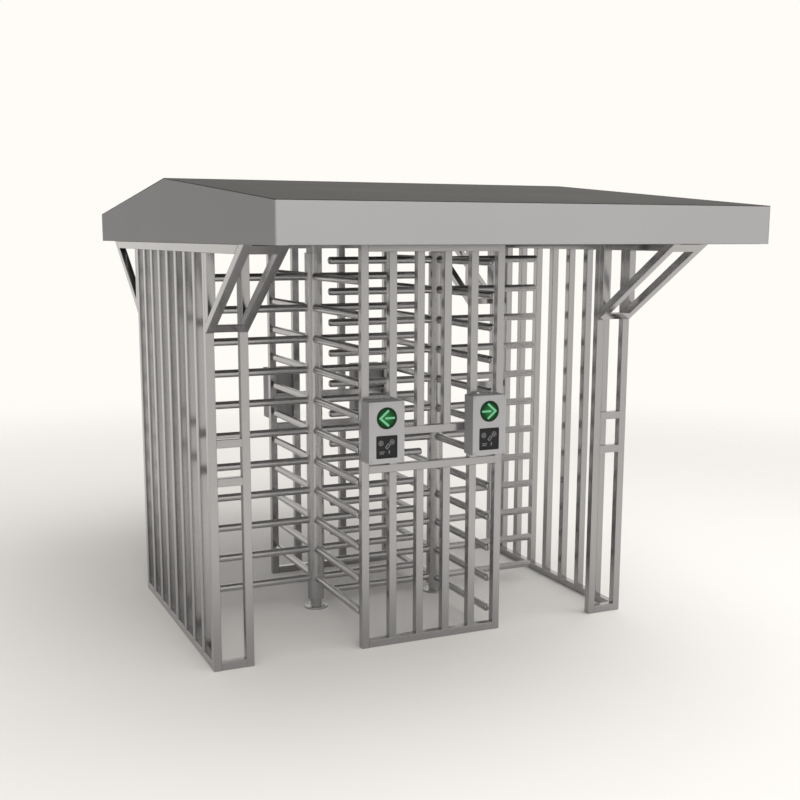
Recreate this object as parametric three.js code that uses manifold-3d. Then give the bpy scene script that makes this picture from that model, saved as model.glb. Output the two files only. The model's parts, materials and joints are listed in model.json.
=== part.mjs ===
// Double full height turnstile under a gabled canopy: two four-wing rotors
// whose arms mesh between each other, fixed grilles at both sides and in the
// middle, ladder jambs, inclined roof braces, control boxes and the head gear.
// Millimetres. +Z up, the front faces -Y, the origin is the footprint's centre
// on the floor.

import * as THREE from 'three';
import { mergeVertices } from 'three/addons/utils/BufferGeometryUtils.js';
import Module from 'manifold-3d';

const wasm = await Module();
wasm.setup();

// Fits
const seatGap = 0.3;            // between pieces that are bolted or laid together
const runningGap = 0.3;         // round a turning shaft
const overrun = 5;              // how far a cutting solid runs past its face

// Rotors
const armReach = 645;           // rotor axis to the tip of an arm
const armDiameter = 40;
const armTipRound = 13;
const armLevels = 12;           // in each wing of the right rotor, the left has one fewer
const wingCount = 4;
const lowestArm = 89;           // floor to the axis of the lowest arm
const topArmDrop = 96;          // top of the frame down to the highest arm
const columnDiameter = 89;
const columnTopDrop = 54;       // top of the frame down to the end of the wing spines
const coreDiameter = 70;
const coreBoreDiameter = 44;
const meshGap = 42.5;             // arm tip to the other rotor's column

// Pedestals
const flangeDiameter = 130;
const flangeThickness = 12;
const flangeRound = 5;
const neckDiameter = 64;
const columnFoot = 50;          // floor to the underside of the column
const spindleLength = 110;      // neck to the top of the spindle
const spindleChamfer = 4;

// Frame of square tube
const tube = 40;
const frameHeight = 2005;
const armEndGap = 40;           // arm tip to the inner face of a centre panel
const wallGap = 99;            // arm tip to the inner face of a side grille
const jambWidth = 200;
const panelOverlap = 24;        // centre panel past each rotor axis
const sideBars = 7;             // upright bars of a side grille, between the jambs
const panelBars = 6;
const lowerRailHeight = 892;    // floor to the underside of the lower middle rail
const railSpacing = 182;        // lower middle rail to upper middle rail

// Roof braces
const braceRise = 400;
const braceRun = 612;

// Canopy
const eavesOverhang = 1011;
const sheet = 3;
const fasciaHeight = 167;
const roofRise = 150;           // eaves to ridge

// Control boxes
const boxWidth = 186;
const boxHeight = 300;
const boxDepth = 92;
const boxWall = 2.5;
const boxHeightAboveRail = 26;  // lower middle rail to the box
const rightBoxInset = 34;       // panel edge to the right box
const lampDiameter = 105;
const lampDepth = 26;
const readerSize = 110;
const readerDepth = 22;
const fittingProud = 1.5;       // lamp and reader past the cover
const lampInsetShare = 11 / 34; // box top to the lamp, of the height that the fittings leave
const readerInsetShare = 5 / 17; // box bottom to the reader, of the same height

// Head gear
const bridgePlate = 6;
const bridgeFlange = 60;
const bridgeBoreGap = 4;        // round the core in the bridge floor
const bearingWall = 22;
const bearingHeight = 28;
const wheelRadius = 70;
const wheelThickness = 12;
const wheelLift = 6;            // bearing to index wheel
const coreTopRise = 14;         // index wheel to the top of the core
const notchWidth = 28;
const notchDepth = 22;
const pawlReach = 95;           // rotor axis to the pivot, across the bridge
const pawlWidth = 20;
const pawlWheelGap = 4;         // index wheel to the lever when locked
const toothWidth = 14;
const toothEntry = 18;          // depth of the tooth in a notch when locked
const bossDiameter = 28;
const pivotDiameter = 16;
const pivotRise = 5;            // pivot pin above the lever
const bossWallGap = 5;          // pivot boss to the bridge flange
const pawlSwing = THREE.MathUtils.degToRad(14);

// Facets
const columnFacets = 24;
const armFacets = 8;
const tipFacets = 1;
const roundFacets = 32;
const roundCornerFacets = 2;

// Sizes that follow from the driving ones
const armRadius = armDiameter / 2;
const coreRadius = coreDiameter / 2;
const columnRadius = columnDiameter / 2;
const rotorOffset = (armReach + meshGap + columnRadius) / 2;
const halfDepth = armReach + armEndGap + tube;
const halfWidth = rotorOffset + armReach + wallGap + tube;
const innerHalfWidth = halfWidth - tube;
const innerHalfDepth = halfDepth - tube;
const panelHalfWidth = rotorOffset + panelOverlap;
const railBottom = frameHeight - tube;
const upperRailHeight = lowerRailHeight + railSpacing;
const beamBottom = frameHeight + seatGap;
const beamTop = beamBottom + tube;
const highestArm = frameHeight - topArmDrop;
const armPitch = (highestArm - lowestArm) / (armLevels - 1);
const columnTop = frameHeight - columnTopDrop;
const braceFoot = frameHeight - braceRise;
const braceSlope = braceRise / braceRun;
const braceAngle = Math.atan(braceSlope);
const braceThickness = tube / Math.sin(braceAngle);
const braceStart = halfDepth + seatGap;
const roofHalfDepth = halfDepth + eavesOverhang;
const betweenTrusses = halfWidth - sheet - tube - seatGap * 2;
const eavesHeight = frameHeight + fasciaHeight;
const roofSlope = roofRise / roofHalfDepth;
const ridgeHeight = eavesHeight + roofRise;
const sheetDrop = sheet * Math.hypot(1, roofSlope);
const tubeDrop = tube * Math.hypot(1, roofSlope);
const boxBottom = lowerRailHeight + tube + boxHeightAboveRail;
const fittingSpace = boxHeight - lampDiameter - readerSize;
const lampInset = fittingSpace * lampInsetShare;
const readerInset = fittingSpace * readerInsetShare;
const bridgeFloorTop = beamBottom + bridgePlate;
const bearingBottom = bridgeFloorTop + seatGap;
const wheelBottom = bearingBottom + bearingHeight + wheelLift;
const wheelTop = wheelBottom + wheelThickness;
const coreTop = wheelTop + coreTopRise;
const bridgeHalfWidth = pawlReach + bossDiameter / 2 + bossWallGap + bridgePlate;
const pawlPivotY = wheelRadius + pawlWheelGap + pawlWidth / 2;

// Finishes
const frameSteel = [0xb0b0b2, 0.32, 1];
const rotorSteel = [0xa6a6a8, 0.26, 1];
const canopySheet = [0x8c8a8b, 0.45, 0.6];
const canopyTop = [0x66655f, 0.6, 0.4];
const boxPaint = [0xaeb0aa, 0.5, 0.3];
const lampGreen = [0x0b6b33, 0.25, 0];
const readerBlack = [0x17181a, 0.4, 0];
const gearSteel = [0x7d7f82, 0.4, 1];

const model = new THREE.Group();

function addPiece(parent, name, geometry, [color, roughness, metalness]) {
  const material = new THREE.MeshStandardMaterial({ color, roughness, metalness });
  const piece = new THREE.Mesh(geometry, material);
  piece.name = name;
  parent.add(piece);
  return piece;
}

function place(parent, x, y, z, turn = 0) {
  const group = new THREE.Group();
  group.position.set(x, y, z);
  group.rotation.z = turn;
  parent.add(group);
  return group;
}

// Shapes, solids and cuts

function outline(points) {
  return new THREE.Shape(points.map(([u, v]) => new THREE.Vector2(u, v)));
}

function rectangle(left, bottom, right, top) {
  return [[left, bottom], [right, bottom], [right, top], [left, top]];
}

function between(first, second) {
  return [Math.min(first, second), Math.max(first, second)];
}

function withHoles(points, holes) {
  const shape = outline(points);
  shape.holes = holes.map((hole) => outline(hole));
  return shape;
}

function circlePoints(radius, facets, centre = [0, 0]) {
  const points = [];
  for (let step = 0; step < facets; step += 1) {
    const angle = (2 * Math.PI * step) / facets;
    points.push([centre[0] + radius * Math.cos(angle), centre[1] + radius * Math.sin(angle)]);
  }
  return points;
}

// A shape drawn in X and Y, as thick as asked, standing on the height z.
function slab(shape, z, thickness) {
  const geometry = new THREE.ExtrudeGeometry(shape, { depth: thickness, bevelEnabled: false });
  return geometry.translate(0, 0, z);
}

// A shape drawn in X and Z, between two places along Y.
function frameAlongX(shape, yLow, yHigh) {
  const geometry = new THREE.ExtrudeGeometry(shape, { depth: yHigh - yLow, bevelEnabled: false });
  return geometry.rotateX(Math.PI / 2).translate(0, yHigh, 0);
}

// A shape drawn in Y and Z, between two places along X.
function frameAlongY(shape, xLow, xHigh) {
  const geometry = new THREE.ExtrudeGeometry(shape, { depth: xHigh - xLow, bevelEnabled: false });
  const axes = new THREE.Matrix4().makeBasis(
    new THREE.Vector3(0, 1, 0),
    new THREE.Vector3(0, 0, 1),
    new THREE.Vector3(1, 0, 0),
  );
  return geometry.applyMatrix4(axes).translate(xLow, 0, 0);
}

// A profile of radius and height turned about the Z axis.
function turned(profile, facets) {
  const points = profile.map(([radius, height]) => new THREE.Vector2(radius, height));
  return new THREE.LatheGeometry(points, facets).rotateX(Math.PI / 2);
}

// A frame with windows cut through it, made by either of the two forms above.
function framework(form, points, holes, low, high) {
  const tools = holes.map((hole) => form(outline(hole), low - overrun, high + overrun));
  return cut(form(outline(points), low, high), ...tools);
}

function block(low, high) {
  const size = high.map((value, axis) => value - low[axis]);
  const geometry = new THREE.BoxGeometry(...size);
  return geometry.translate(...low.map((value, axis) => value + size[axis] / 2));
}

function toSolid(geometry) {
  const bare = geometry.clone();
  bare.deleteAttribute('normal');
  bare.deleteAttribute('uv');
  const merged = mergeVertices(bare);
  return new wasm.Manifold(new wasm.Mesh({
    numProp: 3,
    vertProperties: new Float32Array(merged.attributes.position.array),
    triVerts: new Uint32Array(merged.index.array),
  }));
}

function toGeometry(solid) {
  const mesh = solid.getMesh();
  const geometry = new THREE.BufferGeometry();
  geometry.setAttribute('position', new THREE.BufferAttribute(mesh.vertProperties, mesh.numProp));
  geometry.setIndex(new THREE.BufferAttribute(mesh.triVerts, 1));
  geometry.computeVertexNormals();
  return geometry;
}

function cut(geometry, ...tools) {
  return toGeometry(tools.reduce((solid, tool) => solid.subtract(toSolid(tool)), toSolid(geometry)));
}

function join(geometry, ...others) {
  return toGeometry(others.reduce((solid, other) => solid.add(toSolid(other)), toSolid(geometry)));
}

// The radius that a faceted bore needs to clear a turning shaft
function boreRadius(shaftRadius, clearance, facets) {
  return (shaftRadius + clearance) / Math.cos(Math.PI / facets);
}

// Canopy

function underRoof(y) {
  return ridgeHeight - roofSlope * Math.abs(y) - sheetDrop - seatGap;
}

function addRoofSlope(name, facing) {
  const ridge = facing * seatGap / 2;
  const eaves = facing * roofHalfDepth;
  const ridgeTop = ridgeHeight - roofSlope * Math.abs(ridge);
  const profile = [
    [ridge, ridgeTop],
    [eaves, eavesHeight],
    [eaves, eavesHeight - sheetDrop],
    [ridge, ridgeTop - sheetDrop],
  ];
  addPiece(model, name, frameAlongY(outline(profile), -halfWidth, halfWidth), canopyTop);
}

function addFascia(name, facing) {
  const outer = facing * roofHalfDepth;
  const inner = facing * (roofHalfDepth - sheet);
  const profile = [
    [outer, frameHeight],
    [inner, frameHeight],
    [inner, underRoof(inner)],
    [outer, underRoof(outer)],
  ];
  const halfLength = halfWidth - sheet - seatGap;
  addPiece(model, name, frameAlongY(outline(profile), -halfLength, halfLength), canopySheet);
}

function addGable(name, side) {
  const profile = [
    [-roofHalfDepth, beamBottom],
    [roofHalfDepth, beamBottom],
    [roofHalfDepth, underRoof(roofHalfDepth)],
    [0, underRoof(0)],
    [-roofHalfDepth, underRoof(roofHalfDepth)],
  ];
  const outer = side * halfWidth;
  const inner = side * (halfWidth - sheet);
  addPiece(model, name, frameAlongY(outline(profile), ...between(outer, inner)), canopySheet);
}

function trussWindow(facing) {
  const inner = facing * tube / 2;
  const outer = facing * (roofHalfDepth - sheet - seatGap - tube);
  return [
    [inner, beamTop],
    [outer, beamTop],
    [outer, underRoof(outer) - tubeDrop],
    [inner, underRoof(inner) - tubeDrop],
  ];
}

function addTruss(name, side) {
  const end = roofHalfDepth - sheet - seatGap;
  const profile = [
    [-end, beamBottom],
    [end, beamBottom],
    [end, underRoof(end)],
    [0, underRoof(0)],
    [-end, underRoof(end)],
  ];
  const outer = side * (halfWidth - sheet - seatGap);
  const inner = outer - side * tube;
  const windows = [trussWindow(-1), trussWindow(1)];
  const faces = between(outer, inner);
  addPiece(model, name, framework(frameAlongY, profile, windows, ...faces), frameSteel);
}

function addRidgeBeam() {
  const top = underRoof(tube / 2);
  const low = [-betweenTrusses, -tube / 2, top - tube];
  const geometry = block(low, [betweenTrusses, tube / 2, top]);
  addPiece(model, 'ridge_beam', geometry, frameSteel);
}

function addHeader(name, facing, bottom) {
  const [yLow, yHigh] = between(facing * halfDepth, facing * innerHalfDepth);
  const geometry = block([-betweenTrusses, yLow, bottom], [betweenTrusses, yHigh, beamTop]);
  addPiece(model, name, geometry, frameSteel);
}

// Fixed grilles and jambs

function addSideGrille(name, side) {
  const pitch = (2 * halfDepth - tube) / (sideBars + 1);
  const firstBar = -halfDepth + pitch;
  const lastBar = halfDepth - pitch;
  const post = innerHalfDepth - seatGap;
  const endGap = seatGap / Math.sin(braceAngle);
  const endAt = (height) => braceBack(height) - endGap;
  const profile = [
    [-post, 0], [post, 0], [post, tube], [lastBar, tube], [lastBar, railBottom],
    [endAt(railBottom), railBottom], [endAt(frameHeight), frameHeight],
    [-endAt(frameHeight), frameHeight], [-endAt(railBottom), railBottom],
    [firstBar, railBottom], [firstBar, tube], [-post, tube],
  ];
  const holes = [];
  for (let bar = 1; bar < sideBars; bar += 1) {
    const left = -halfDepth + bar * pitch + tube;
    holes.push(rectangle(left, tube, left + pitch - tube, railBottom));
  }
  const faces = between(side * halfWidth, side * innerHalfWidth);
  addPiece(model, name, framework(frameAlongY, profile, holes, ...faces), frameSteel);
}

function addJamb(name, side, facing, innerTop) {
  const at = (inset) => side * (halfWidth - inset);
  const outerTop = railBottom - seatGap;
  const upperRung = upperRailHeight + tube;
  const profile = [
    [at(0), 0], [at(jambWidth), 0], [at(jambWidth), innerTop], [at(jambWidth - tube), innerTop],
    [at(jambWidth - tube), upperRung], [at(tube), upperRung], [at(tube), outerTop],
    [at(0), outerTop],
  ];
  const holes = [
    rectangle(at(tube), tube, at(jambWidth - tube), lowerRailHeight),
    rectangle(at(tube), lowerRailHeight + tube, at(jambWidth - tube), upperRailHeight),
  ];
  const faces = between(facing * halfDepth, facing * innerHalfDepth);
  addPiece(model, name, framework(frameAlongX, profile, holes, ...faces), frameSteel);
}

// The distance from the middle to the back edge of a brace leg at a height
function braceBack(height) {
  return braceStart + (height - braceFoot) / braceSlope - braceThickness;
}

// Two slanted legs, each with an upright against the jamb post behind it, and
// a rung at both ends. The outer upright stops under the side grille's rail.
function addBrace(name, side, facing) {
  const upright = braceStart + tube;
  const meeting = braceFoot + (tube + braceThickness) * braceSlope;
  const profile = [
    [facing * braceStart, braceFoot],
    [facing * (braceStart + braceRun), frameHeight],
    [facing * braceBack(frameHeight), frameHeight],
    [facing * upright, meeting],
    [facing * upright, frameHeight],
    [facing * braceStart, frameHeight],
  ];
  const outer = side * halfWidth;
  const inner = side * (halfWidth - jambWidth);
  const across = between(side * (halfWidth - tube), side * (halfWidth - jambWidth + tube));
  const trim = between(side * (halfWidth - tube - seatGap), side * (halfWidth + overrun));
  const near = facing * (braceStart - overrun);
  const pastUprights = between(near, facing * (upright + overrun));
  const pastLegs = between(near, facing * (braceStart + braceRun + overrun));
  const top = frameHeight + overrun;
  const solid = cut(
    frameAlongY(outline(profile), ...between(outer, inner)),
    block([across[0], pastLegs[0], braceFoot + tube], [across[1], pastLegs[1], railBottom]),
    block([across[0], pastUprights[0], railBottom - overrun], [across[1], pastUprights[1], top]),
    block([trim[0], pastUprights[0], railBottom - seatGap], [trim[1], pastUprights[1], top]),
  );
  addPiece(model, name, solid, frameSteel);
}

// The left edge of an upright bar of a centre panel
function barLeft(bar) {
  const pitch = (2 * panelHalfWidth - tube) / (panelBars - 1);
  return -panelHalfWidth + bar * pitch;
}

// A panel whose bars stand free above the upper middle rail
function openPanelOutline(barTop) {
  const railTop = upperRailHeight + tube;
  const points = [[-panelHalfWidth, 0], [panelHalfWidth, 0]];
  for (let bar = panelBars - 1; bar > 0; bar -= 1) {
    points.push(
      [barLeft(bar) + tube, barTop], [barLeft(bar), barTop],
      [barLeft(bar), railTop], [barLeft(bar - 1) + tube, railTop],
    );
  }
  points.push([barLeft(0) + tube, barTop], [barLeft(0), barTop]);
  return points;
}

// Lower windows, the wide window between the middle rails, and, under a top
// rail, the upper windows
function panelHoles(upperTop) {
  const holes = [];
  const middle = Math.floor(panelBars / 2) - 1;
  const rows = [[tube, lowerRailHeight]];
  if (upperTop) {
    rows.push([upperRailHeight + tube, upperTop]);
  }
  for (const [bottom, top] of rows) {
    for (let bar = 0; bar < panelBars - 1; bar += 1) {
      holes.push(rectangle(barLeft(bar) + tube, bottom, barLeft(bar + 1), top));
    }
  }
  const low = lowerRailHeight + tube;
  for (let bar = 0; bar < panelBars - 1; bar += 1) {
    if (bar < middle - 1 || bar > middle + 1) {
      holes.push(rectangle(barLeft(bar) + tube, low, barLeft(bar + 1), upperRailHeight));
    }
  }
  holes.push(rectangle(barLeft(middle - 1) + tube, low, barLeft(middle + 2), upperRailHeight));
  return holes;
}

function addFrontPanel() {
  const points = rectangle(-panelHalfWidth, 0, panelHalfWidth, frameHeight);
  const holes = panelHoles(railBottom);
  const geometry = framework(frameAlongX, points, holes, -halfDepth, -innerHalfDepth);
  addPiece(model, 'front_centre_panel', geometry, frameSteel);
}

function addRearPanel() {
  const points = openPanelOutline(railBottom - seatGap);
  const holes = panelHoles(0);
  const geometry = framework(frameAlongX, points, holes, innerHalfDepth, halfDepth);
  addPiece(model, 'rear_centre_panel', geometry, frameSteel);
}

// Control boxes, drawn with the back on Y zero and the front towards -Y

function addControlBox(name, centre, facing) {
  const turn = facing > 0 ? Math.PI : 0;
  const box = place(model, centre, facing * halfDepth, boxBottom, turn);
  const half = boxWidth / 2;
  const coverBack = -(boxDepth - sheet);
  const housingFront = coverBack + seatGap;
  const lampHeight = boxHeight - lampInset - lampDiameter / 2;
  const readerHeight = readerInset + readerSize / 2;
  const housing = cut(
    block([-half, housingFront, 0], [half, -seatGap, boxHeight]),
    block(
      [-half + boxWall, housingFront - overrun, boxWall],
      [half - boxWall, -seatGap - boxWall, boxHeight - boxWall],
    ),
  );
  addPiece(box, `${name}_box_housing`, housing, boxPaint);

  const readerHole = readerSize / 2 + seatGap;
  const coverShape = withHoles(rectangle(-half, 0, half, boxHeight), [
    circlePoints(lampDiameter / 2 + seatGap, roundFacets, [0, lampHeight]),
    rectangle(-readerHole, readerHeight - readerHole, readerHole, readerHeight + readerHole),
  ]);
  addPiece(box, `${name}_box_cover`, frameAlongX(coverShape, -boxDepth, coverBack), boxPaint);

  const front = -boxDepth - fittingProud;
  const lamp = frameAlongX(
    outline(circlePoints(lampDiameter / 2, roundFacets, [0, lampHeight])),
    front,
    front + lampDepth,
  );
  addPiece(box, `${name}_direction_lamp`, lamp, lampGreen);
  const reader = block(
    [-readerSize / 2, front, readerHeight - readerSize / 2],
    [readerSize / 2, front + readerDepth, readerHeight + readerSize / 2],
  );
  addPiece(box, `${name}_card_reader`, reader, readerBlack);
}

// Rotors, drawn about their own axis

function armGeometry(start) {
  const profile = [[0, start], [armRadius, start]];
  for (let step = 0; step <= tipFacets; step += 1) {
    const angle = (Math.PI / 2) * (step / tipFacets);
    profile.push([
      armRadius - armTipRound + armTipRound * Math.cos(angle),
      armReach - armTipRound + armTipRound * Math.sin(angle),
    ]);
  }
  profile.push([0, armReach]);
  return turned(profile, armFacets).rotateY(Math.PI / 2);
}

function spineGeometry() {
  const inner = coreRadius + seatGap;
  const span = Math.PI / wingCount;
  const edge = span - seatGap / columnRadius;
  const steps = columnFacets / wingCount;
  const points = [];
  const angleAt = (step) => Math.max(-edge, Math.min(edge, -span + (2 * span * step) / steps));
  for (let step = 0; step <= steps; step += 1) {
    points.push([columnRadius * Math.cos(angleAt(step)), columnRadius * Math.sin(angleAt(step))]);
  }
  for (let step = steps; step >= 0; step -= 1) {
    points.push([inner * Math.cos(angleAt(step)), inner * Math.sin(angleAt(step))]);
  }
  return slab(outline(points), columnFoot, columnTop - columnFoot);
}

function wingGeometry(firstArm, count) {
  const inner = coreRadius + seatGap;
  const armStart = inner + (columnRadius - inner) / wingCount;
  const arms = [];
  for (let level = 0; level < count; level += 1) {
    arms.push(armGeometry(armStart).translate(0, 0, firstArm + level * armPitch));
  }
  return join(spineGeometry(), ...arms);
}

function addRotor(name, side, firstArm, count) {
  const rotor = place(model, side * rotorOffset, 0, 0);
  const bore = coreBoreDiameter / 2;
  const core = [
    [bore, columnFoot], [coreRadius, columnFoot], [coreRadius, coreTop],
    [bore, coreTop], [bore, columnFoot],
  ];
  addPiece(rotor, `${name}_rotor_core`, turned(core, columnFacets), rotorSteel);
  const wing = wingGeometry(firstArm, count);
  for (let index = 0; index < wingCount; index += 1) {
    const piece = addPiece(rotor, `${name}_wing_${index + 1}`, wing, rotorSteel);
    piece.rotation.z = (2 * Math.PI * index) / wingCount;
  }
  addPiece(rotor, `${name}_index_wheel`, indexWheelGeometry(), gearSteel);
}

// Four notches, one for each resting place of the wings
function indexWheelGeometry() {
  const points = [];
  const halfNotch = Math.asin(notchWidth / 2 / wheelRadius);
  const arcSteps = roundFacets / wingCount / 2;
  for (let notch = 0; notch < wingCount; notch += 1) {
    const middle = (2 * Math.PI * notch) / wingCount;
    const along = [Math.cos(middle), Math.sin(middle)];
    const across = [-along[1], along[0]];
    const floor = wheelRadius - notchDepth;
    for (const edge of [-notchWidth / 2, notchWidth / 2]) {
      points.push([
        along[0] * floor + across[0] * edge,
        along[1] * floor + across[1] * edge,
      ]);
    }
    const sweep = (2 * Math.PI) / wingCount - 2 * halfNotch;
    for (let step = 0; step <= arcSteps; step += 1) {
      const angle = middle + halfNotch + (sweep * step) / arcSteps;
      points.push([wheelRadius * Math.cos(angle), wheelRadius * Math.sin(angle)]);
    }
  }
  const hole = circlePoints(coreRadius + seatGap, columnFacets);
  return slab(withHoles(points, [hole]), wheelBottom, wheelThickness);
}

function addPedestal(name, side) {
  const flange = flangeDiameter / 2;
  const neck = neckDiameter / 2;
  const spindle = coreBoreDiameter / 2 * Math.cos(Math.PI / columnFacets) - runningGap;
  const neckTop = columnFoot - seatGap;
  const profile = [[0, 0], [flange, 0]];
  for (let step = 0; step <= roundCornerFacets; step += 1) {
    const angle = (Math.PI / 2) * (step / roundCornerFacets);
    profile.push([
      flange - flangeRound + flangeRound * Math.cos(angle),
      flangeThickness - flangeRound + flangeRound * Math.sin(angle),
    ]);
  }
  profile.push(
    [neck, flangeThickness], [neck, neckTop], [spindle, neckTop],
    [spindle, neckTop + spindleLength - spindleChamfer],
    [spindle - spindleChamfer, neckTop + spindleLength], [0, neckTop + spindleLength],
  );
  const base = place(model, side * rotorOffset, 0, 0);
  addPiece(base, `${name}_floor_pedestal`, turned(profile, columnFacets), rotorSteel);
}

// Head gear over each rotor

function addHead(name, side) {
  const head = place(model, side * rotorOffset, 0, 0);
  const end = innerHalfDepth - seatGap;
  const outer = bridgeHalfWidth;
  const inner = bridgeHalfWidth - bridgePlate;
  const flangeTop = beamBottom + bridgeFlange;
  const channel = frameAlongX(outline([
    [-outer, beamBottom], [outer, beamBottom], [outer, flangeTop], [inner, flangeTop],
    [inner, bridgeFloorTop], [-inner, bridgeFloorTop], [-inner, flangeTop], [-outer, flangeTop],
  ]), -end, end);
  const coreHole = slab(
    outline(circlePoints(coreRadius + bridgeBoreGap, columnFacets)),
    beamBottom - overrun,
    bridgePlate + 2 * overrun,
  );
  const pivot = [pawlReach, pawlPivotY];
  const bossBottom = bridgeFloorTop - bridgePlate / 2;
  const bossTop = wheelBottom - seatGap;
  const boss = slab(
    outline(circlePoints(bossDiameter / 2, columnFacets, pivot)),
    bossBottom,
    bossTop - bossBottom,
  );
  const pin = slab(
    outline(circlePoints(pivotDiameter / 2, columnFacets, pivot)),
    bossBottom,
    wheelTop + pivotRise - bossBottom,
  );
  const bridge = join(cut(channel, coreHole), boss, pin);
  addPiece(head, `${name}_head_bridge`, bridge, frameSteel);

  const bearingBore = boreRadius(coreRadius, runningGap, columnFacets);
  const bearingTop = bearingBottom + bearingHeight;
  const bearing = turned([
    [bearingBore, bearingBottom], [coreRadius + bearingWall, bearingBottom],
    [coreRadius + bearingWall, bearingTop], [bearingBore, bearingTop],
    [bearingBore, bearingBottom],
  ], columnFacets);
  addPiece(head, `${name}_top_bearing`, bearing, gearSteel);
  addPawl(head, name);
}

// The pawl is drawn locked and then swung clear of the wheel, about its pivot
function addPawl(head, name) {
  const toothTip = wheelRadius - toothEntry - pawlPivotY;
  const halfLever = pawlWidth / 2;
  const eye = bossDiameter / 2;
  const points = [
    [-pawlReach - toothWidth / 2, toothTip],
    [-pawlReach + toothWidth / 2, toothTip],
    [-pawlReach + toothWidth / 2, -halfLever],
    [-Math.sqrt(eye ** 2 - halfLever ** 2), -halfLever],
  ];
  const start = Math.PI + Math.asin(halfLever / eye);
  const sweep = 2 * Math.PI - 2 * Math.asin(halfLever / eye);
  const steps = columnFacets / 2;
  for (let step = 1; step < steps; step += 1) {
    const angle = start + (sweep * step) / steps;
    points.push([eye * Math.cos(angle), eye * Math.sin(angle)]);
  }
  points.push(
    [-Math.sqrt(eye ** 2 - halfLever ** 2), halfLever],
    [-pawlReach - toothWidth / 2, halfLever],
  );
  const hole = circlePoints(boreRadius(pivotDiameter / 2, runningGap, columnFacets), columnFacets);
  const lever = slab(withHoles(points, [hole]), wheelBottom, wheelThickness);
  const pivot = place(head, pawlReach, pawlPivotY, 0, -pawlSwing);
  addPiece(pivot, `${name}_lock_pawl`, lever, gearSteel);
}

// The assembly

addRoofSlope('front_roof_slope', -1);
addRoofSlope('rear_roof_slope', 1);
addFascia('front_fascia', -1);
addFascia('rear_fascia', 1);
addRidgeBeam();
addHeader('front_header_beam', -1, beamBottom);
addHeader('rear_header_beam', 1, railBottom);
addFrontPanel();
addRearPanel();

const leftBox = -panelHalfWidth + boxWidth / 2;
const rightBox = panelHalfWidth - rightBoxInset - boxWidth / 2;
for (const [side, hand] of [[-1, 'left'], [1, 'right']]) {
  addGable(`${hand}_gable`, side);
  addTruss(`${hand}_roof_truss`, side);
  addSideGrille(`${hand}_side_grille`, side);
  addPedestal(hand, side);
  addHead(hand, side);
  for (const [facing, end] of [[-1, 'front'], [1, 'rear']]) {
    const innerTop = facing < 0 ? frameHeight : railBottom - seatGap;
    addJamb(`${end}_${hand}_jamb`, side, facing, innerTop);
    addBrace(`${end}_${hand}_brace`, side, facing);
    addControlBox(`${end}_${hand}`, side < 0 ? leftBox : rightBox, facing);
  }
}
addRotor('left', -1, lowestArm + armPitch / 2, armLevels - 1);
addRotor('right', 1, lowestArm, armLevels);

export default model;
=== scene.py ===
"""The looks and the stage of a double full height turnstile under a canopy.

Sizes are in metres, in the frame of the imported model: X runs from the left
rotor to the right one, Y from the front to the rear, Z up.
"""

import json
import math

import bmesh
import bpy
from mathutils import Matrix, Vector
from mathutils.geometry import tessellate_polygon


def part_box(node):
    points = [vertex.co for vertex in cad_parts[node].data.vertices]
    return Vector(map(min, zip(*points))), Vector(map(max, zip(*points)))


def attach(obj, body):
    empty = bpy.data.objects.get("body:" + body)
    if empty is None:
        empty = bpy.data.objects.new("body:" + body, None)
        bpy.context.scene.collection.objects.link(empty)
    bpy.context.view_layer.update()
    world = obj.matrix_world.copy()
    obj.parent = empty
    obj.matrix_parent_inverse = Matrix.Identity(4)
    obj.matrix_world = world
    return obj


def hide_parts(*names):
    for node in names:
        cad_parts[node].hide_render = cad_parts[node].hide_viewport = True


bl_info = {
    "name": "Double Full Height Turnstile",
    "version": (1, 0, 0),
    "blender": (4, 5, 0),
    "location": "View3D > Sidebar > Turnstile",
    "description": "Builds the welded frame, the rotors, the canopy and the control boxes",
    "category": "Add Mesh",
}

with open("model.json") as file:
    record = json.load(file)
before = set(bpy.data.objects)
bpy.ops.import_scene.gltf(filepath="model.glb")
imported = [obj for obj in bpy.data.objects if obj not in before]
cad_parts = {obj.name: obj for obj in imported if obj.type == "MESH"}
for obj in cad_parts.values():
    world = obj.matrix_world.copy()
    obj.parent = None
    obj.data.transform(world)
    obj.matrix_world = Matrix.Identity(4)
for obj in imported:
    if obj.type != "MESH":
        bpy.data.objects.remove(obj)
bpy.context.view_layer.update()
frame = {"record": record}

HANDS = (("left", -1), ("right", 1))
ENDS = (("front", -1), ("rear", 1))
X_AXIS = Vector((1, 0, 0))
Y_AXIS = Vector((0, 1, 0))
Z_AXIS = Vector((0, 0, 1))

WINGS = 4

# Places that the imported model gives
panel_low, panel_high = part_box("front_centre_panel")
jamb_low, jamb_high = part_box("front_right_jamb")
brace_low, brace_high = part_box("rear_right_brace")
truss_low, truss_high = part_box("right_roof_truss")
slope_low, slope_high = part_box("rear_roof_slope")
fascia_low, fascia_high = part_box("rear_fascia")
core_low, core_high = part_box("right_rotor_core")
grille_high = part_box("right_side_grille")[1]
wing_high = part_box("right_wing_1")[1]

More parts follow.
